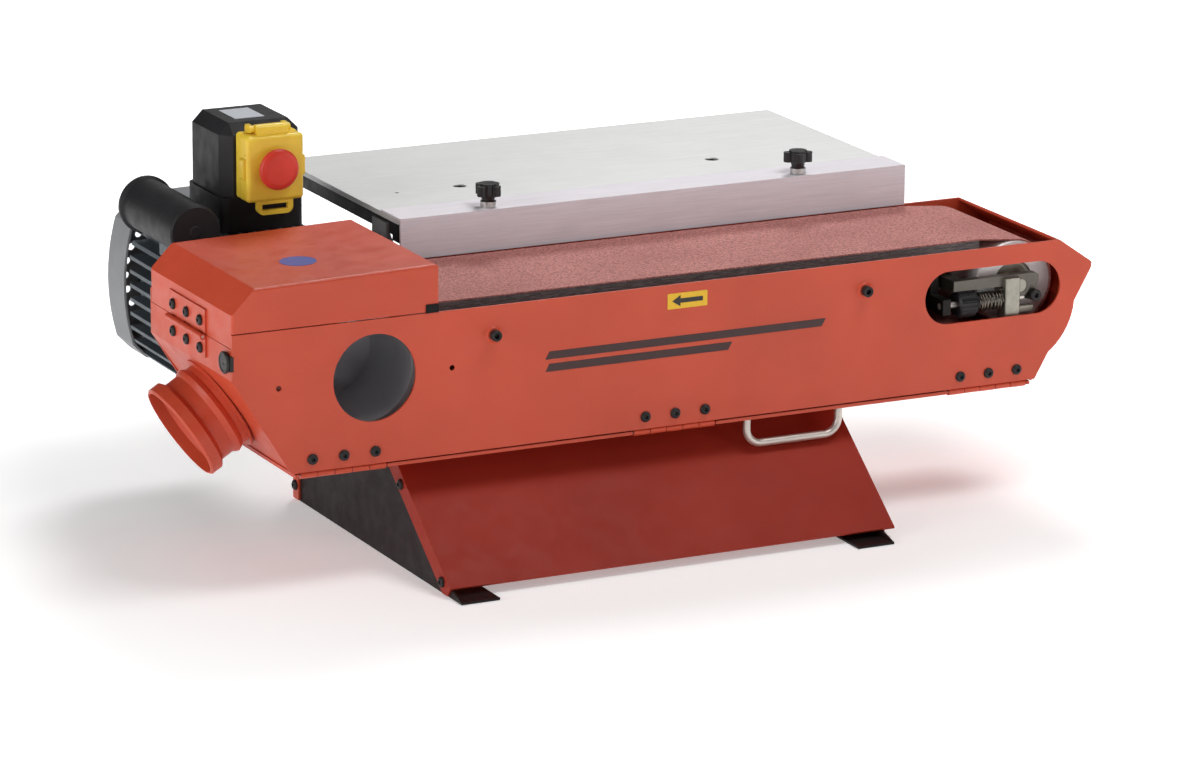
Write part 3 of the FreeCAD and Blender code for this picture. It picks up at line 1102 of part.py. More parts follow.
def make_stand():
    right = "base_x + base_long"
    face = [slanted("0", "low"), slanted("wall", "low"), slanted("wall", "high"), slanted("0", "high")]
    skin = plate("end", face, "base_x", "base_long")
    toe = shifted(slanted("0", "low"), (math.sin(BASE_ANGLE), -math.cos(BASE_ANGLE)),
                  "(base_low - 1)/%.9f" % math.cos(BASE_ANGLE))
    heel = shifted(slanted("16", "low"), (math.cos(BASE_ANGLE), math.sin(BASE_ANGLE)),
                   "(1 - (%s))/%.9f" % (slanted("16", "low")[1], math.sin(BASE_ANGLE)))
    flange = [slanted("0", "low"), toe, heel, slanted("16", "high"), slanted("0", "high")]
    flanges = [plate("end", flange, x, "wall") for x in ("base_x", right + " - wall - base_inset")]
    holes = [rod(("base_x - 5", y, z), "2.1", "base_long + 10", ALONG_X)
             for y, z in stand_screw_places()[:2]]
    node(cut(fuse(skin, *flanges), *holes), "base_front_plate")

    back = box(("base_x", "base_back - wall", "1"), ("base_long", "wall", "floor_plate_z - 1"))
    lips = [box((x, "base_back - 12", "1"), ("wall", "12", "floor_plate_z - 1"))
            for x in ("base_x", right + " - wall - base_inset")]
    holes = [rod(("base_x - 5", y, z), "2.1", "base_long + 10", ALONG_X)
             for y, z in stand_screw_places()[2:]]
    node(cut(fuse(back, *lips), *holes), "base_back_plate")

    inner = right + " - base_inset - wall - 0.02"
    cheeks = []
    for x, foot_x, top_x in (("base_x + wall + 0.02", "base_x + wall + 0.02", "base_x + wall + 0.02"),
                             (inner + " - wall", inner + " - foot_wide", inner + " - 24")):
        side_outline = [("foot_front", "0"), ("base_back - wall - 0.05", "0"),
                        ("base_back - wall - 0.05", "floor_plate_z"),
                        ("base_head_y + wall*1.7", "floor_plate_z"),
                        ("base_front + wall*0.7", "base_low - wall*0.9"),
                        ("foot_front + 1", "wall")]
        cheek = plate("end", side_outline, x, "wall")
        foot = box((foot_x, "foot_front", "0"),
                   ("foot_wide", "base_back - wall - 0.05 - foot_front", "wall"))
        top = box((top_x, "base_head_y + 8", "floor_plate_z - wall"),
                  ("24", "depth - base_head_y - 10", "wall"))
        holes = [rod(("base_x - 5", y, z), "2.1", "base_long + 10", ALONG_X)
             for y, z in stand_screw_places()]
        cheeks.append(cut(fuse(cheek, foot, top), *holes))
    node(group(cheeks), "base_sides")


def stand_screw_places():
    """Two on the sloping flange, then two on the back lip, as (y, z)."""
    low = shifted(("base_front", "base_low"), (math.cos(BASE_ANGLE), math.sin(BASE_ANGLE)), "14")
    low = shifted(low, (math.sin(BASE_ANGLE), -math.cos(BASE_ANGLE)), "8")
    high = shifted(low, (math.cos(BASE_ANGLE), math.sin(BASE_ANGLE)), "106")
    return [low, high, ("base_back - 6", "14"), ("base_back - 6", "86")]


def make_frame_screws(lower_screws):
    screws = list(lower_screws)
    to_left, to_right = Rotation(Vector(0, 1, 0), -90), ALONG_X
    for y, z in stand_screw_places():
        screws.append(button_screw(("base_x", y, z), to_left, "8"))
        screws.append(button_screw(("base_x + base_long", y, z), to_right, "8"))
    node(group(screws), "frame_screws")


def make_panel_screws():
    to_front = Rotation(Vector(1, 0, 0), 90)
    screws = [button_screw((x, "0", "hinge_screw_z"), to_front, "6") for x in hinge_screw_places()]
    for x in ("cap_left_x", "cap_right_x"):
        head = rod((x, "-boss_high - 6", "cap_z"), "4.9", "6", ALONG_Y)
        head = rounded(head, 0.8, lambda edge: centre(edge).y < value("-boss_high - 5.5"))
        shank = rod((x, "-boss_high", "cap_z"), "3", "10", ALONG_Y)
        socket = hexagon((x, "-boss_high - 7", "cap_z"), "2.8", "4", ALONG_Y)
        screws.append(cut(fuse(head, shank), socket))
    node(group(screws), "panel_screws")


def make_handle():
    left, right = handle_legs()
    low, bend, radius = "handle_z", "handle_bend", "handle_r"
    legs = [rod((x, "handle_y", low + " + " + bend), radius,
                "floor_plate_z - handle_z - handle_bend") for x in (left, right)]
    grip = rod((left + " + " + bend, "handle_y", low), radius, "handle_span - 2*handle_bend", ALONG_X)
    bends = []
    for x, turn in ((left + " + " + bend,
                     Rotation(Vector(1, 0, 0), 90).multiply(Rotation(Vector(0, 0, 1), 180))),
                    (right + " - " + bend,
                     Rotation(Vector(1, 0, 0), 90).multiply(Rotation(Vector(0, 0, 1), 270)))):
        ring = doc.addObject("Part::Torus", "Bend")
        bind(ring, "Radius1", bend)
        bind(ring, "Radius2", radius)
        ring.Angle3 = 90
        bends.append(place(ring, (x, "handle_y", low + " + " + bend), turn))
    screws = [rod((x, "handle_y", "floor_plate_z - 6"), "2", "11") for x in (left, right)]
    node(fuse(*legs, grip, *bends, *screws), "carry_handle")


# ---- assembly ---------------------------------------------------------------------------------------

def make_all():
    make_front_panel()
    make_back_panel()
    make_housing_walls()
    make_dust_collar()
    fixed_leaves, pins = make_panel_hinges()
    hood_leaf, hood_pin, lower_screws = make_hood_hinge()
    node(group(fixed_leaves + [hood_leaf]), "fixed_hinge_leaves")
    node(group(pins + [hood_pin]), "hinge_pins")
    make_hood()
    make_latch()
    make_platen()
    make_belt()
    make_drum()
    make_idler()
    make_tension_unit()
    make_motor()
    make_switch_box()
    make_table()
    make_table_arms()
    make_stand()
    make_frame_screws(lower_screws)
    make_panel_screws()
    make_handle()


def check_and_write():
    doc.recompute()
    faults = [thing.Name + " " + thing.Label for thing in doc.Objects
              if {"Invalid", "Error"} & set(thing.State)]
    if faults:
        raise RuntimeError("failed objects: %s" % ", ".join(faults))
    for piece in nodes:
        shape = piece.Shape
        if shape.isNull() or not shape.isValid() or not shape.Solids:
            raise RuntimeError("bad shape: %s" % piece.Label)
    os.makedirs("parts", exist_ok=True)
    whole = FreeCAD.BoundBox()
    for piece in nodes:
        piece.Shape.exportStep("parts/%s.step" % piece.Label)
        whole.add(piece.Shape.BoundBox)
        print("%-22s solids %2d  volume %10.0f" % (piece.Label, len(piece.Shape.Solids),
                                                   piece.Shape.Volume))
    print("%d nodes, box %s" % (len(nodes), whole))


make_all()
check_and_write()
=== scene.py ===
"""Looks of the belt grinder: materials, screws, spring, labels, studio and camera. Metres, in the frame
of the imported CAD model, whose nodes stay where they are."""
import json
import math
import bmesh
import bpy
from mathutils import Matrix, Vector


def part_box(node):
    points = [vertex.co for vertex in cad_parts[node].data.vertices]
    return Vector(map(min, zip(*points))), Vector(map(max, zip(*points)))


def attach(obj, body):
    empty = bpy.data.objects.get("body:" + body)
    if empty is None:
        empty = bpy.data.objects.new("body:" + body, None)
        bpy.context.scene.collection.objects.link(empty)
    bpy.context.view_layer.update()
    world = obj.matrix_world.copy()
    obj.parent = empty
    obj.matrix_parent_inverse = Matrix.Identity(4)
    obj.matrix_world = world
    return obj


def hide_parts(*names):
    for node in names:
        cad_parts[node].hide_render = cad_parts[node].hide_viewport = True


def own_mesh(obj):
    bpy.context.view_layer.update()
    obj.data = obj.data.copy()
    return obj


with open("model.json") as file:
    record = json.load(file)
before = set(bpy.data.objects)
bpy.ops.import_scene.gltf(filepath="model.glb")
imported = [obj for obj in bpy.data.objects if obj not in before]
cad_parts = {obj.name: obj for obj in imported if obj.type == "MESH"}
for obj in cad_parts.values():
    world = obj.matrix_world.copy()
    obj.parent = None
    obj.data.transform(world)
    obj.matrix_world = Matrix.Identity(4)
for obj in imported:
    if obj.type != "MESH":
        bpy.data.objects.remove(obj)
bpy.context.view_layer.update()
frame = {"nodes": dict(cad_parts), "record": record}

MM = 0.001
nodes = frame["nodes"]
bodies = frame["record"]["behaviour"]["bodies"]
body_of = {node: body for body, members in bodies.items() for node in members}


# ---- node-tree helpers ------------------------------------------------------------------------------

# Dot products of the rounded and the true normal at a sharp edge and on a flat face.
EDGE_DOT, FLAT_DOT = 0.7, 0.995


class Tree:
    """A material's node tree with short ways to add and join nodes."""

    def __init__(self, name):
        self.material = bpy.data.materials.new(name)
        self.material.use_nodes = True
        self.nodes = self.material.node_tree.nodes
        self.links = self.material.node_tree.links
        self.shader = self.nodes["Principled BSDF"]
        self.place = self.nodes.new("ShaderNodeTexCoord").outputs["Object"]

    def add(self, kind, **settings):
        made = self.nodes.new(kind)
        for key, setting in settings.items():
            setattr(made, key, setting)
        return made

    def join(self, source, target):
        self.links.new(source, target)

    def stretch(self, scale):
        """The place coordinates scaled differently along each axis."""
        mapping = self.add("ShaderNodeMapping")
        mapping.inputs["Scale"].default_value = scale
        self.join(self.place, mapping.inputs["Vector"])
        return mapping.outputs["Vector"]

    def noise(self, scale, detail=4.0, roughness=0.55, place=None):
        made = self.add("ShaderNodeTexNoise")
        made.inputs["Scale"].default_value = scale
        made.inputs["Detail"].default_value = detail
        made.inputs["Roughness"].default_value = roughness
        self.join(place or self.place, made.inputs["Vector"])
        return made.outputs["Fac"]

    def cells(self, scale, output="Distance"):
        made = self.add("ShaderNodeTexVoronoi")
        made.inputs["Scale"].default_value = scale
        self.join(self.place, made.inputs["Vector"])
        return made.outputs[output]

    def span(self, source, low, high, start=0.0, end=1.0):
        """Map a value from start..end to low..high."""
        made = self.add("ShaderNodeMapRange")
        for key, number in (("From Min", start), ("From Max", end), ("To Min", low), ("To Max", high)):
            made.inputs[key].default_value = number
        self.join(source, made.inputs["Value"])
        return made.outputs["Result"]

    def mix(self, factor, first, second):
        """Blend two colours; the mix node lists its factor and its two colours at these sockets."""
        made = self.add("ShaderNodeMix", data_type="RGBA")
        for source, key in ((factor, 0), (first, 6), (second, 7)):
            if isinstance(source, (int, float)):
                made.inputs[key].default_value = source
            elif isinstance(source, tuple):
                made.inputs[key].default_value = (*source, 1.0)
            else:
                self.join(source, made.inputs[key])
        return made.outputs[2]

    def bump(self, height, strength, distance, soft_edge=0.0004):
        """Bumps laid over normals that are rounded off at the edges, as paint and deburring leave them."""
        made = self.add("ShaderNodeBump")
        bevel = self.add("ShaderNodeBevel", samples=3)
        bevel.inputs["Radius"].default_value = soft_edge
        self.join(bevel.outputs["Normal"], made.inputs["Normal"])
        made.inputs["Strength"].default_value = strength
        made.inputs["Distance"].default_value = distance
        self.join(height, made.inputs["Height"])
        self.join(made.outputs["Normal"], self.shader.inputs["Normal"])

    def worn_edges(self, width):
        """A mask that is 1 along outer edges, from the difference that rounding makes to the normal."""
        bevel = self.add("ShaderNodeBevel", samples=4)
        bevel.inputs["Radius"].default_value = width
        geometry = self.add("ShaderNodeNewGeometry")
        dot = self.add("ShaderNodeVectorMath", operation="DOT_PRODUCT")
        self.join(bevel.outputs["Normal"], dot.inputs[0])
        self.join(geometry.outputs["True Normal"], dot.inputs[1])
        return self.span(dot.outputs["Value"], 1.0, 0.0, EDGE_DOT, FLAT_DOT)

    def set(self, **settings):
        """Set shader inputs by name, with spaces written as underscores."""
        for key, source in settings.items():
            socket = self.shader.inputs[key.replace("_", " ")]
            if isinstance(source, (int, float)):
                socket.default_value = source
            elif isinstance(source, tuple):
                socket.default_value = (*source, 1.0)
            else:
                self.join(source, socket)
        return self.material


def srgb(red, green, blue):
    """A colour given in screen values from 0 to 255, as linear light."""
    return tuple(c / 255 / 12.92 if c <= 10 else ((c / 255 + 0.055) / 1.055) ** 2.4
                 for c in (red, green, blue))


def scaled(colour, factor):
    """A colour made brighter or darker."""
    return tuple(min(1.0, c * factor) for c in colour)


# ---- materials --------------------------------------------------------------------------------------

def powder_coat(name, colour, roughness=0.38, peel=0.12, wear=0.35, gloss=0.4):
    """Baked powder coat: fine orange peel, faint cloudiness, dust in the gloss and paler rubbed edges."""
    tree = Tree(name)
    cloud = tree.noise(9, 3)
    fine = tree.noise(420, 3)
    base = tree.mix(tree.span(cloud, 0, 1, 0.35, 0.65), scaled(colour, 0.93), scaled(colour, 1.06))
    base = tree.mix(tree.span(fine, 0, 0.35, 0.55, 0.8), base, scaled(colour, 1.18))
    scuff = tree.mix(tree.worn_edges(0.0006), base, scaled(colour, 1.5))
    base = tree.mix(wear, base, scuff)
    haze = tree.noise(55, 6, 0.65)
    tree.bump(tree.noise(1300, 2, 0.5), peel, 0.0004)
    return tree.set(Base_Color=base, Specular_IOR_Level=gloss,
                    Roughness=tree.span(haze, roughness - 0.06, roughness + 0.12, 0.3, 0.7))


def textured_plastic(name, colour, roughness=0.5, grain=900, strength=0.25, gloss=0.0):
    """Moulded plastic with a fine spark-eroded texture and slightly uneven gloss."""
    tree = Tree(name)
    blotch = tree.noise(30, 4)
    base = tree.mix(tree.span(blotch, 0, 1, 0.35, 0.7), scaled(colour, 0.88), scaled(colour, 1.12))
    base = tree.mix(tree.span(tree.worn_edges(0.0005), 0, 0.4), base, scaled(colour, 1.9))
    tree.bump(tree.noise(grain, 3, 0.6), strength, 0.0003)
    uneven = tree.span(tree.noise(70, 5), roughness - 0.08, roughness + 0.1, 0.3, 0.7)
    return tree.set(Base_Color=base, Roughness=uneven, Specular_IOR_Level=0.2, Coat_Weight=gloss,
                    Coat_Roughness=0.25)


def brushed_metal(name, colour, roughness, lines, metallic):
    """Metal with fine brush lines along X and smudges."""
    tree = Tree(name)
    streaks = tree.noise(1.0, 5, 0.7, tree.stretch((14, 900, 900)))
    smudge = tree.noise(16, 5, 0.6)
    base = tree.mix(tree.span(streaks, 0, 1, 0.3, 0.7), scaled(colour, 0.86), scaled(colour, 1.08))
    base = tree.mix(tree.span(smudge, 0, 0.25, 0.45, 0.75), base, scaled(colour, 0.78))
    rough = tree.mix(0.5, tree.span(streaks, roughness - 0.08, roughness + 0.12, 0.3, 0.7),
                     tree.span(smudge, roughness - 0.05, roughness + 0.15, 0.3, 0.7))
    tree.bump(streaks, 0.18 * lines, 0.0002)
    return tree.set(Base_Color=base, Metallic=metallic, Roughness=rough)


def turned_metal(name, colour, centre, roughness, metallic):
    """Lathe-turned metal: fine rings about an axis along Y through a centre."""
    tree = Tree(name)
    offset = tree.add("ShaderNodeVectorMath", operation="SUBTRACT")
    offset.inputs[1].default_value = centre
    tree.join(tree.place, offset.inputs[0])
    flat = tree.add("ShaderNodeVectorMath", operation="MULTIPLY")
    flat.inputs[1].default_value = (1, 0, 1)
    tree.join(offset.outputs["Vector"], flat.inputs[0])
    length = tree.add("ShaderNodeVectorMath", operation="LENGTH")
    tree.join(flat.outputs["Vector"], length.inputs[0])
    ring = tree.add("ShaderNodeTexNoise", noise_dimensions="1D")
    ring.inputs["Scale"].default_value = 2600
    ring.inputs["Detail"].default_value = 3
    tree.join(length.outputs["Value"], ring.inputs["W"])
    smudge = tree.noise(22, 5, 0.6)
    rings = ring.outputs["Fac"]
    base = tree.mix(tree.span(rings, 0, 1, 0.3, 0.7), scaled(colour, 0.85), scaled(colour, 1.08))
    base = tree.mix(tree.span(smudge, 0, 0.3, 0.45, 0.8), base, scaled(colour, 0.7))
    tree.bump(rings, 0.25, 0.0002)
    return tree.set(Base_Color=base, Metallic=metallic,
                    Roughness=tree.span(smudge, roughness, roughness + 0.18, 0.35, 0.7))


def bossed_plastic(name, colour, metal, boss_top):
    """Moulded plastic above a height and a turned steel boss below it, with a sharp change between them."""
    tree = Tree(name)
    split = tree.add("ShaderNodeSeparateXYZ")
    tree.join(tree.place, split.inputs[0])
    plastic = tree.span(split.outputs["Z"], 0, 1, boss_top - 0.0001, boss_top + 0.0001)
    blotch = tree.noise(40, 4)
    dark = tree.mix(tree.span(blotch, 0, 1, 0.35, 0.7), scaled(colour, 0.85), scaled(colour, 1.2))
    bright = tree.mix(tree.span(tree.noise(300, 3), 0, 1, 0.35, 0.65), scaled(metal, 0.85),
                      scaled(metal, 1.05))
    tree.bump(tree.noise(1500, 3, 0.6), 0.14, 0.0003, 0.0008)
    return tree.set(Base_Color=tree.mix(plastic, bright, dark), Metallic=tree.span(plastic, 0.8, 0.0),
                    Roughness=tree.span(blotch, 0.28, 0.42, 0.3, 0.7))


def machined_steel(name, colour, roughness=0.36):
    """Sawn and milled steel with oily discoloration and small scratches."""
    tree = Tree(name)
    blotch = tree.noise(60, 6, 0.65)
    scratch = tree.noise(1.0, 3, 0.7, tree.stretch((260, 1400, 900)))
    base = tree.mix(tree.span(blotch, 0, 1, 0.3, 0.7), scaled(colour, 0.62), scaled(colour, 1.12))
    base = tree.mix(tree.span(scratch, 0, 0.35, 0.55, 0.75), base, scaled(colour, 1.35))
    base = tree.mix(tree.span(tree.worn_edges(0.0005), 0, 0.7), base, scaled(colour, 1.6))
    tree.bump(scratch, 0.2, 0.0003)
    return tree.set(Base_Color=base, Metallic=0.9,
                    Roughness=tree.span(blotch, roughness - 0.06, roughness + 0.2, 0.3, 0.7))


def abrasive_cloth(name, pale, deep):
    """Coated abrasive: packed grains of a millimetre or less with pale facets and dark gaps between."""
    tree = Tree(name)
    grain = tree.cells(820)
    tone = tree.cells(820, output="Color")
    separate = tree.add("ShaderNodeSeparateColor")
    tree.join(tone, separate.inputs["Color"])
    coarse = tree.noise(340, 3, 0.6)
    cloud = tree.noise(14, 4)
    base = tree.mix(tree.span(separate.outputs["Red"], 0, 1), deep, pale)
    base = tree.mix(tree.span(coarse, 0, 0.75, 0.42, 0.72), base, scaled(pale, 1.3))
    base = tree.mix(tree.span(grain, 0, 0.5, 0.55, 0.9), base, scaled(deep, 0.45))
    base = tree.mix(tree.span(cloud, 0, 0.3, 0.4, 0.7), base, scaled(deep, 1.05))
    height = tree.mix(0.5, grain, coarse)
    tree.bump(height, 0.75, 0.0007)
    return tree.set(Base_Color=base, Specular_IOR_Level=0.35,
                    Roughness=tree.span(coarse, 0.6, 0.9, 0.3, 0.7))


def layered_graphite(name, colour):
    """Graphite cloth over cork: a dark woven face and thin pale laminations along its edge."""
    tree = Tree(name)
    layers = tree.noise(1.0, 4, 0.7, tree.stretch((120, 300, 2600)))
    fleck = tree.noise(500, 4, 0.7)
    base = tree.mix(tree.span(layers, 0, 1, 0.4, 0.62), scaled(colour, 0.45), scaled(colour, 1.8))
    base = tree.mix(tree.span(fleck, 0, 0.5, 0.5, 0.75), base, scaled(colour, 0.6))
    tree.bump(layers, 0.5, 0.0005)
    return tree.set(Base_Color=base, Roughness=tree.span(fleck, 0.45, 0.75, 0.3, 0.7))


def cast_paint(name, colour, roughness=0.5):
    """Sprayed enamel over a sand-cast surface."""
    tree = Tree(name)
    lumps = tree.noise(260, 5, 0.6)
    cloud = tree.noise(20, 4)
    base = tree.mix(tree.span(cloud, 0, 1, 0.35, 0.65), scaled(colour, 0.85), scaled(colour, 1.12))
    base = tree.mix(tree.span(tree.worn_edges(0.0008), 0, 0.45), base, scaled(colour, 1.7))
    tree.bump(lumps, 0.3, 0.0006)
    return tree.set(Base_Color=base,
                    Roughness=tree.span(lumps, roughness - 0.08, roughness + 0.1, 0.35, 0.65))


def printed_paper(name, colour):
    """Paper or film with a faint fibre, for stickers and prints."""
    tree = Tree(name)
    fibre = tree.noise(700, 4, 0.6)
    base = tree.mix(tree.span(fibre, 0, 1, 0.35, 0.65), scaled(colour, 0.94), scaled(colour, 1.03))
    tree.bump(fibre, 0.05, 0.0001)
    return tree.set(Base_Color=base, Roughness=tree.span(fibre, 0.35, 0.5, 0.3, 0.7))


def middle(node):
    """The middle of a node's box."""
    low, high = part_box(node)
    return (low + high) / 2


BOSS_HIGH = 5.2 * MM
KNOB_BLACK = srgb(30, 29, 31)

red_paint = powder_coat("red_powder_coat", srgb(204, 77, 50))
# The red powder coat darkened for the base's front plate: painted shade for the shadow the housing casts on
# it. This coat is also less glossy.
shaded_red_coat = powder_coat("red_coat_painted_shade", srgb(158, 50, 36), 0.42, gloss=0.12)
dark_paint = powder_coat("dark_powder_coat", srgb(36, 28, 28), 0.45, 0.3, 0.2, 0.15)
grey_paint = powder_coat("grey_paint", srgb(120, 122, 124), 0.42)
cowl_paint = powder_coat("cowl_paint", srgb(138, 139, 142), 0.45, 0.2, 0.2, 0.26)
black_metal = textured_plastic("blackened_steel", srgb(48, 45, 45), 0.36, 1500, 0.15)
black_plastic = textured_plastic("black_moulding", srgb(41, 40, 42), 0.5, 1100, 0.3)
knob_plastic = textured_plastic("knob_moulding", KNOB_BLACK, 0.34, 1600, 0.12, 0.2)
fence_knob = bossed_plastic("bossed_knob_moulding", KNOB_BLACK, srgb(205, 203, 200),
                            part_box("fence_profile")[1].z + BOSS_HIGH)
yellow_plastic = textured_plastic("yellow_moulding", srgb(255, 212, 70), 0.33, 1500, 0.08, 0.25)
red_plastic = textured_plastic("red_moulding", srgb(222, 66, 52), 0.36, 1300, 0.12, 0.2)
green_plastic = textured_plastic("green_moulding", srgb(30, 128, 60), 0.36, 1300, 0.12, 0.2)
rubber = textured_plastic("buffer_rubber", srgb(26, 25, 25), 0.7, 700, 0.5)
table_metal = brushed_metal("table_aluminium", srgb(222, 222, 221), 0.5, 0.4, 0.25)
fence_metal = brushed_metal("fence_aluminium", srgb(240, 234, 240), 0.45, 0.6, 0.05)
bright_rod = brushed_metal("nickel_rod", srgb(214, 206, 198), 0.36, 0.3, 0.7)
steel = machined_steel("milled_steel", srgb(168, 164, 152))
dark_steel = machined_steel("carriage_steel", srgb(112, 107, 100), 0.4)
black_steel = machined_steel("black_beam_steel", srgb(52, 49, 47), 0.5)
spring_steel = machined_steel("spring_steel", srgb(120, 114, 104), 0.28)
drum_metal = turned_metal("turned_drum", srgb(205, 206, 210), middle("drive_drum"), 0.36, 0.55)
idler_metal = turned_metal("turned_idler", srgb(238, 237, 236), middle("idler_roller"), 0.4, 0.3)
motor_paint = cast_paint("motor_enamel", srgb(84, 92, 98))
lamination = cast_paint("stator_iron", srgb(112, 92, 74), 0.6)
belt_grain = abrasive_cloth("abrasive_grain", srgb(214, 146, 138), srgb(146, 80, 76))
graphite = layered_graphite("graphite_pad", srgb(104, 100, 100))
label_white = printed_paper("white_label", srgb(206, 210, 216))
label_yellow = printed_paper("yellow_label", srgb(240, 190, 30))
label_black = printed_paper("label_black", srgb(34, 30, 30))
label_blue = printed_paper("blue_label", srgb(60, 78, 160))
decal_dark = printed_paper("screen_print", srgb(58, 26, 24))

# The nodes that have each finish.
FINISH = {
    red_paint: ["front_panel", "back_panel", "left_end_wall", "right_end_wall", "bottom_plate", "hood",
                "base_back_plate", "dust_collar", "panel_hinge_leaves", "fixed_hinge_leaves",
                "hood_hinge_leaf"],
    # The base's front plate takes the darkened red, painted shade under the housing.
    shaded_red_coat: ["base_front_plate"],
    dark_paint: ["base_sides"],
    grey_paint: ["table_arms", "tilt_brackets"],
    cowl_paint: ["fan_cowl"],
    black_metal: ["frame_screws", "panel_screws", "hood_hinge_screws", "latch_knob", "latch_hook",
                  "tracking_screw", "table_screws"],
    black_plastic: ["capacitor", "terminal_box", "switch_cover", "cable_gland", "cooling_fan",
                    "table_rails"],
    knob_plastic: ["tension_knob", "tilt_clamp_knob"],
    fence_knob: ["profile_knob_left", "profile_knob_right"],
    yellow_plastic: ["switch_frame", "switch_flap"],
    red_plastic: ["stop_mushroom"],
    green_plastic: ["start_button"],
    rubber: ["hood_buffer"],
    table_metal: ["table_plate"],
    fence_metal: ["fence_profile"],
    bright_rod: ["carry_handle", "tension_rod", "hinge_pins"],
    steel: ["tracking_block", "idler_axle", "idler_bearings", "motor_bearings", "rotor_shaft",
            "drum_bolt"],
    dark_steel: ["tension_carriage"],
    black_steel: ["platen_beam"],
    spring_steel: ["tension_spring"],
    drum_metal: ["drive_drum"],
    idler_metal: ["idler_roller"],
    motor_paint: ["motor_end_shield", "motor_housing"],
    lamination: ["stator_core"],
    belt_grain: ["belt"],
    graphite: ["platen_pad", "platen"],
}


def dress_nodes():
    """Give each CAD node its material, and the moulded knobs soft edges."""
    for material, names in FINISH.items():
        for name in names:
            data = nodes[name].data
            data.materials.clear()
            data.materials.append(material)
    for name in ("tension_knob", "tilt_clamp_knob", "profile_knob_left", "profile_knob_right"):
        soften = nodes[name].modifiers.new("moulded_edges", "BEVEL")
        soften.width = 0.9 * MM
        soften.segments = 3
        soften.limit_method = "ANGLE"
        soften.angle_limit = math.radians(40)
        soften.harden_normals = True


# ---- mesh helpers -----------------------------------------------------------------------------------

CREASE = math.radians(35)
SEGMENTS = 48


def piece(name, mesh_builder, material, body, replaces=()):
    """Make an object from a builder that fills a bmesh, and let it ride on a body."""
    build = bmesh.new()
    mesh_builder(build)
    bmesh.ops.recalc_face_normals(build, faces=build.faces)
    for face in build.faces:
        face.smooth = True
    for edge in build.edges:
        if len(edge.link_faces) == 2 and edge.calc_face_angle(0) > CREASE:
            edge.smooth = False
    mesh = bpy.data.meshes.new(name)
    build.to_mesh(mesh)
    build.free()
    made = bpy.data.objects.new(name, mesh)
    bpy.context.scene.collection.objects.link(made)
    mesh.materials.append(material)
    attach(made, body)
    if replaces:
        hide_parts(*replaces)
    return made


def facing(place, out):
    """A matrix whose Z points along a direction at a place."""
    return Matrix.Translation(place) @ out.normalized().to_track_quat("Z", "Y").to_matrix().to_4x4()


def islands(node):
    """The loose parts of a CAD node as (lowest corner, highest corner), found by joining shared corners."""
    mesh = nodes[node].data
    spots = {}
    merged = [spots.setdefault(tuple(round(c, 6) for c in v.co), v.index) for v in mesh.vertices]
    parent = {i: i for i in set(merged)}

    def root(i):
        while parent[i] != i:
            parent[i] = parent[parent[i]]
            i = parent[i]
        return i

    for polygon in mesh.polygons:
        corners = [merged[i] for i in polygon.vertices]
        for other in corners[1:]:
            parent[root(other)] = root(corners[0])
    groups = {}
    for vertex in mesh.vertices:
        groups.setdefault(root(merged[vertex.index]), []).append(vertex.co)
    boxes = []
    for points in groups.values():
        low = Vector(min(p[i] for p in points) for i in range(3))
        high = Vector(max(p[i] for p in points) for i in range(3))
        boxes.append((low, high))
    return boxes


def ring(build, radius, height, matrix, hexagonal=0.0):
    """A ring of corners; hexagonal 1 makes it a hexagon with the radius to its corners."""
    corners = []
    for i in range(SEGMENTS):
        angle = 2 * math.pi * i / SEGMENTS
        to_flat = math.cos(math.pi / 6) / math.cos((angle % (math.pi / 3)) - math.pi / 6)
        reach = radius * (1 + hexagonal * (to_flat - 1))
        corner = Vector((reach * math.cos(angle), reach * math.sin(angle), height))
        corners.append(build.verts.new(matrix @ corner))
    return corners


def lathe(build, profile, matrix):
    """Turn a profile of (radius, height) or (radius, height, hexagonal) about the matrix's Z, closed at its
    ends."""
    rings = [ring(build, *point[:2], matrix, *point[2:]) for point in profile]
    for low, high in zip(rings, rings[1:]):
        for i in range(SEGMENTS):
            j = (i + 1) % SEGMENTS
            build.faces.new((low[i], low[j], high[j], high[i]))
    build.faces.new(rings[0][::-1])
    build.faces.new(rings[-1])


def dome_profile(radius, height, shank, length):
    """A button-head screw from the shank's tip over the dome to the floor of its hexagon socket."""
    profile = [(shank * 0.8, -length), (shank, -length + shank * 0.3), (shank, 0), (radius * 0.96, 0),
               (radius, height * 0.08), (radius, height * 0.2)]
    socket = radius * 0.42
    steps = 7
    for i in range(1, steps + 1):
        angle = math.pi / 2 * i / steps
        reach = socket * 1.12 + (radius - socket * 1.12) * math.cos(angle)
        profile.append((reach, height * (0.2 + 0.8 * math.sin(angle))))
    profile += [(socket * 1.02, height * 0.97, 1.0), (socket * 0.98, height * 0.3, 1.0),
                (socket * 0.3, height * 0.22, 0.0)]
    return profile


def cap_profile(radius, height, shank, length):
    """A socket-cap screw with a straight head, from the shank's tip to the floor of its hexagon socket."""
    socket = radius * 0.56
    return [(shank * 0.8, -length), (shank, -length + shank * 0.3), (shank, 0), (radius * 0.95, 0),
            (radius, height * 0.06), (radius, height * 0.86), (radius * 0.97, height * 0.94),
            (radius * 0.88, height), (socket * 1.12, height), (socket * 1.02, height * 0.95, 1.0),
            (socket, height * 0.35, 1.0), (socket * 0.3, height * 0.28, 0.0)]


# Head height and shank radius of the two kinds of screw; a screw longer than the limit is a cap screw.
CAP_HEAD, CAP_SHANK = 6 * MM, 3 * MM
BUTTON_HEAD, BUTTON_SHANK = 3 * MM, 1.95 * MM
LONGEST_BUTTON = 14 * MM
STAND_MIDDLE_X = 60 * MM


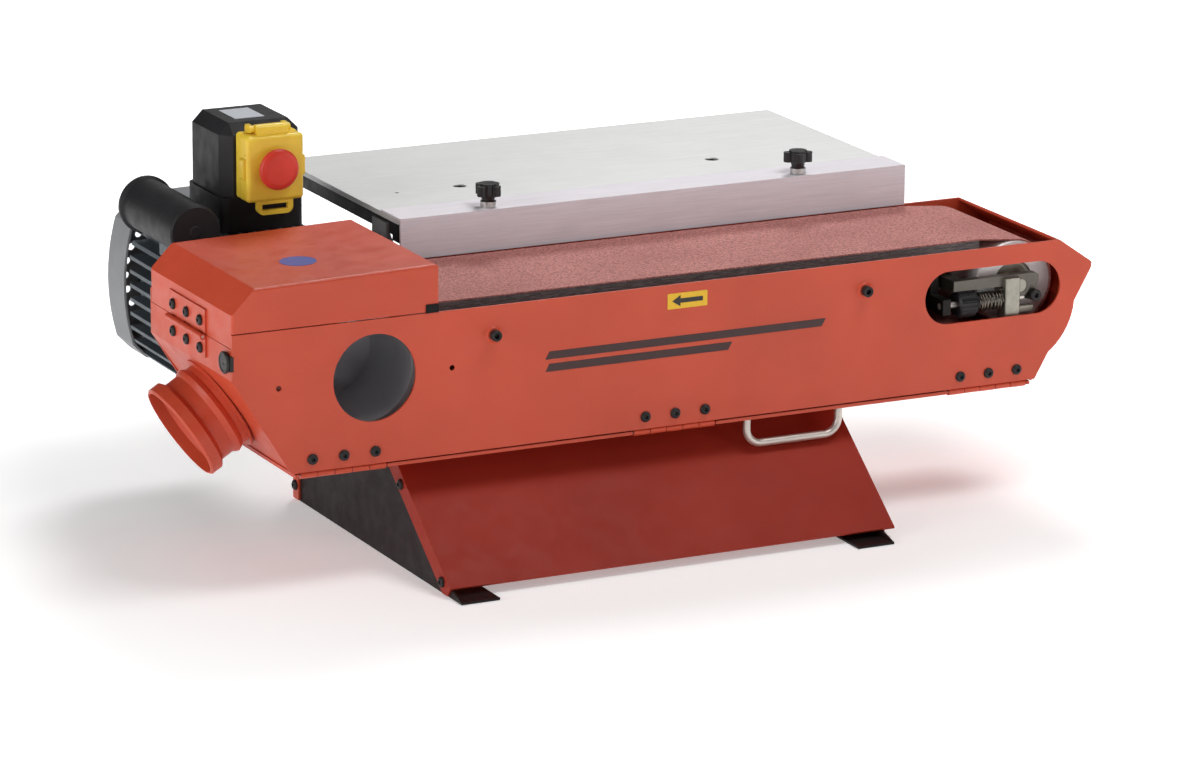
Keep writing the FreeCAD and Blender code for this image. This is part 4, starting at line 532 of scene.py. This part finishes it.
def screws():
    """Domed and cap screws in place of the plain CAD ones, each on its own seat."""
    ways = {"frame_screws": None, "panel_screws": Vector((0, -1, 0)),
            "hood_hinge_screws": Vector((-1, 0, 0))}
    for node, way in ways.items():
        def build_all(build, node=node, way=way):
            for low, high in islands(node):
                centre, size = (low + high) / 2, high - low
                out = way or Vector((-1 if centre.x < STAND_MIDDLE_X else 1, 0, 0))
                axis = 1 if abs(out.y) > 0.5 else 0
                tip = low[axis] if out[axis] < 0 else high[axis]
                head_r = size.z / 2
                tall = size.x if axis == 0 else size.y
                cap = tall > LONGEST_BUTTON
                head, shank = (CAP_HEAD, CAP_SHANK) if cap else (BUTTON_HEAD, BUTTON_SHANK)
                seat = centre.copy()
                seat[axis] = tip - out[axis] * head
                maker = cap_profile if cap else dome_profile
                lathe(build, maker(head_r, head, shank, tall - head), facing(seat, out))
        piece(node + "_domed", build_all, black_metal, body_of[node], (node,))


COIL_TURNS = 7.5
COIL_STEPS = 270
WIRE = 1 * MM
WIRE_SIDES = 12
END_CLOSING = 0.3


def tension_spring():
    """The tension spring, its end turns close together."""
    low, high = (Vector(corner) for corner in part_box("tension_spring"))
    centre = (low + high) / 2
    reach = (high.z - low.z) / 2 - WIRE
    length = high.x - low.x - 2 * WIRE
    sides = [2 * math.pi * k / WIRE_SIDES for k in range(WIRE_SIDES)]

    def coil(build):
        rings = []
        for i in range(COIL_STEPS + 1):
            share = i / COIL_STEPS
            turn = 2 * math.pi * COIL_TURNS * share
            outward = Vector((0, math.cos(turn), math.sin(turn)))
            along = share - END_CLOSING * math.sin(2 * math.pi * share) / (2 * math.pi)
            spot = Vector((low.x + WIRE + length * along, centre.y, centre.z)) + reach * outward
            rounds = [math.cos(a) * outward + Vector((math.sin(a), 0, 0)) for a in sides]
            rings.append([build.verts.new(spot + WIRE * away) for away in rounds])
        for near, far in zip(rings, rings[1:]):
            for k in range(WIRE_SIDES):
                build.faces.new((near[k], near[k - 1], far[k - 1], far[k]))
        build.faces.new(rings[0])
        build.faces.new(rings[-1][::-1])

    made = piece("tension_spring_coil", coil, spring_steel, "machine", ["tension_spring"])
    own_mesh(made)


def flat_shape(build, corners, matrix, thick=0.2 * MM):
    """A thin sticker: a closed outline pushed up from the surface."""
    low = [build.verts.new(matrix @ Vector((x, y, 0))) for x, y in corners]
    high = [build.verts.new(matrix @ Vector((x, y, thick))) for x, y in corners]
    build.faces.new(low[::-1])
    build.faces.new(high)
    for i in range(len(corners)):
        j = (i + 1) % len(corners)
        build.faces.new((low[i], low[j], high[j], high[i]))


def round_rect(width, height, radius):
    """The outline of a rectangle with round corners."""
    corners = []
    for sx, sy, start in ((1, 1, 0), (-1, 1, 90), (-1, -1, 180), (1, -1, 270)):
        for i in range(CORNER_STEPS + 1):
            angle = math.radians(start + 90 * i / CORNER_STEPS)
            corners.append((sx * (width / 2 - radius) + radius * math.cos(angle),
                            sy * (height / 2 - radius) + radius * math.sin(angle)))
    return corners


# Places on the front panel are measured from its left end and down from its top edge.
CORNER_STEPS = 5
PANEL_BOSS = 1.5 * MM
STICKER_GAP = 0.05 * MM
ARROW_PLACE = (429.3 * MM, 14.9 * MM)
ARROW_LIFT = 0.2 * MM
ARROW_OUTLINE = [(-15, 0), (-7, 5), (-7, 2), (15, 2), (15, -2), (-7, -2), (-7, -5)]
STRIPES = [(292 * MM, 563 * MM, 50 * MM), (292 * MM, 470 * MM, 61 * MM)]
STRIPE_HIGH, STRIPE_LEAN = 7 * MM, 4 * MM
PLATE_SHIFT, PLATE_GAP, PLATE_THICK = 3 * MM, 0.02 * MM, 0.4 * MM
DOT_X, DOT_Y, DOT_R = 90 * MM, 68 * MM, 16 * MM
HOOD_FALL, HOOD_RUN, HOOD_START = 3.8 * MM, 169.6 * MM, 20.7 * MM


def labels():
    """Plain stickers and prints: an arrow label and two slanted bars on the panel, a plate on the switch
    box and a dot on the hood, whose top falls towards its left end."""
    low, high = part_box("front_panel")
    left, top = low.x, high.z
    face_y = low.y + PANEL_BOSS
    stand = Matrix.Rotation(math.radians(90), 4, "X")

    def on_panel(x, drop, lift=0.0):
        return Matrix.Translation((left + x, face_y - STICKER_GAP - lift, top - drop)) @ stand

    arrow_ground = round_rect(39 * MM, 14 * MM, 1 * MM)
    arrow = [(x * MM, y * MM) for x, y in reversed(ARROW_OUTLINE)]
    piece("direction_label", lambda b: flat_shape(b, arrow_ground, on_panel(*ARROW_PLACE)), label_yellow,
          "front_panel_body")
    piece("direction_arrow", lambda b: flat_shape(b, arrow, on_panel(*ARROW_PLACE, ARROW_LIFT)),
          label_black, "front_panel_body")

    def bars(build):
        for start, end, drop in STRIPES:
            half, high_half = (end - start) / 2, STRIPE_HIGH / 2
            shape = [(-half, -high_half), (half, -high_half), (half + STRIPE_LEAN, high_half),
                     (-half + STRIPE_LEAN, high_half)]
            flat_shape(build, shape, on_panel((start + end) / 2, drop))

    piece("panel_stripes", bars, decal_dark, "front_panel_body")

    low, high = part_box("switch_cover")
    plate = Matrix.Translation(((low.x + high.x) / 2 - PLATE_SHIFT, (low.y + high.y) / 2,
                                high.z + PLATE_GAP))
    plate_shape = round_rect(28 * MM, 38 * MM, 1 * MM)
    piece("rating_plate", lambda b: flat_shape(b, plate_shape, plate, PLATE_THICK), label_white, "machine")

    low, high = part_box("hood")
    below_ridge = HOOD_FALL * (1 - (DOT_X - HOOD_START) / HOOD_RUN)
    at = Vector((low.x + DOT_X, low.y + DOT_Y, high.z - below_ridge + STICKER_GAP))
    lie = Matrix.Translation(at) @ Matrix.Rotation(-math.atan2(HOOD_FALL, HOOD_RUN), 4, "Y")
    turns = [2 * math.pi * i / SEGMENTS for i in range(SEGMENTS)]
    disc = [(DOT_R * math.cos(turn), DOT_R * math.sin(turn)) for turn in turns]
    piece("hood_dot", lambda b: flat_shape(b, disc, lie), label_blue, "hood_body")


# ---- studio -----------------------------------------------------------------------------------------

FLOOR_HALF = 14
FLOOR_DROP = 0.5 * MM
GLOW_NEAR, GLOW_FAR = 0.34, 0.74
GLOW_START, GLOW_END = 0.35, 1.0
SKY = {"From Min": -0.9, "From Max": 0.7, "To Min": 0.35, "To Max": 0.95}


def soft_light(name, place, target, size, power):
    """A rectangular softbox that looks at a target."""
    data = bpy.data.lights.new(name, "AREA")
    data.shape = "RECTANGLE"
    data.size, data.size_y = size
    data.energy = power
    lamp = bpy.data.objects.new(name, data)
    lamp.location = place
    lamp.rotation_mode = "QUATERNION"
    lamp.rotation_quaternion = (Vector(target) - Vector(place)).to_track_quat("-Z", "Y")
    bpy.context.scene.collection.objects.link(lamp)


def studio():
    """A pale floor, brighter away from the machine, a sky that is dimmer in front, and five softboxes."""
    build = bmesh.new()
    bmesh.ops.create_grid(build, x_segments=8, y_segments=8, size=FLOOR_HALF)
    mesh = bpy.data.meshes.new("studio_floor")
    build.to_mesh(mesh)
    build.free()
    floor = bpy.data.objects.new("studio_floor", mesh)
    floor.location.z = -FLOOR_DROP
    bpy.context.scene.collection.objects.link(floor)
    tree = Tree("studio_floor")
    mottled = tree.mix(tree.noise(3, 2), (0.86, 0.86, 0.86), (0.9, 0.9, 0.9))
    reach = tree.add("ShaderNodeVectorMath", operation="LENGTH")
    tree.join(tree.place, reach.inputs[0])
    glow = tree.span(reach.outputs["Value"], GLOW_NEAR, GLOW_FAR, GLOW_START, GLOW_END)
    tree.set(Base_Color=mottled, Roughness=0.7, Specular_IOR_Level=0.1, Emission_Color=(1.0, 1.0, 1.0),
             Emission_Strength=glow)
    mesh.materials.append(tree.material)

    world = bpy.data.worlds.new("studio")
    world.use_nodes = True
    bpy.context.scene.world = world
    world_nodes, links = world.node_tree.nodes, world.node_tree.links
    place = world_nodes.new("ShaderNodeTexCoord")
    split = world_nodes.new("ShaderNodeSeparateXYZ")
    shade = world_nodes.new("ShaderNodeMapRange")
    for key, number in SKY.items():
        shade.inputs[key].default_value = number
    links.new(place.outputs["Generated"], split.inputs[0])
    links.new(split.outputs["Y"], shade.inputs["Value"])
    links.new(shade.outputs["Result"], world_nodes["Background"].inputs["Strength"])

    soft_light("key", (1.2, 1.8, 2.4), (0.1, 0, 0.2), (0.9, 0.9), 42)
    soft_light("top", (0.7, -0.9, 2.6), (0.1, 0, 0.2), (1.3, 1.0), 30)
    soft_light("side", (-2.6, -0.5, 0.9), (0, 0, 0.15), (1.5, 1.5), 27)
    soft_light("front", (-1.5, -2.6, 2.0), (-0.1, 0, 0.15), (0.5, 0.5), 6)
    soft_light("fill", (2.2, -2.6, 0.7), (0.2, 0, 0.15), (1.3, 1.3), 12)


CAMERA_PLACE = (-2.1405, -4.32836, 1.42704)
CAMERA_LENS, CAMERA_SENSOR, CAMERA_REACH = 168.69, 36.0, 50
AZIMUTH, ELEVATION, ROLL = -26.53, 15.29, 0.44


def camera():
    """The photographer's place: a long lens from the front left, a little above."""
    data = bpy.data.cameras.new("camera")
    data.lens = CAMERA_LENS
    data.sensor_width = CAMERA_SENSOR
    data.clip_end = CAMERA_REACH
    made = bpy.data.objects.new("camera", data)
    azimuth, elevation, roll = (math.radians(angle) for angle in (AZIMUTH, ELEVATION, ROLL))
    back = Vector((math.sin(azimuth) * math.cos(elevation), -math.cos(azimuth) * math.cos(elevation),
                   math.sin(elevation)))
    right = Vector((math.cos(azimuth), math.sin(azimuth), 0))
    up = back.cross(right)
    axes = Matrix((right * math.cos(roll) + up * math.sin(roll),
                   up * math.cos(roll) - right * math.sin(roll), back))
    made.matrix_world = Matrix.Translation(CAMERA_PLACE) @ axes.transposed().to_4x4()
    bpy.context.scene.collection.objects.link(made)
    bpy.context.scene.camera = made


dress_nodes()
screws()
tension_spring()
labels()
studio()
camera()
bpy.context.scene.view_settings.view_transform = "Standard"
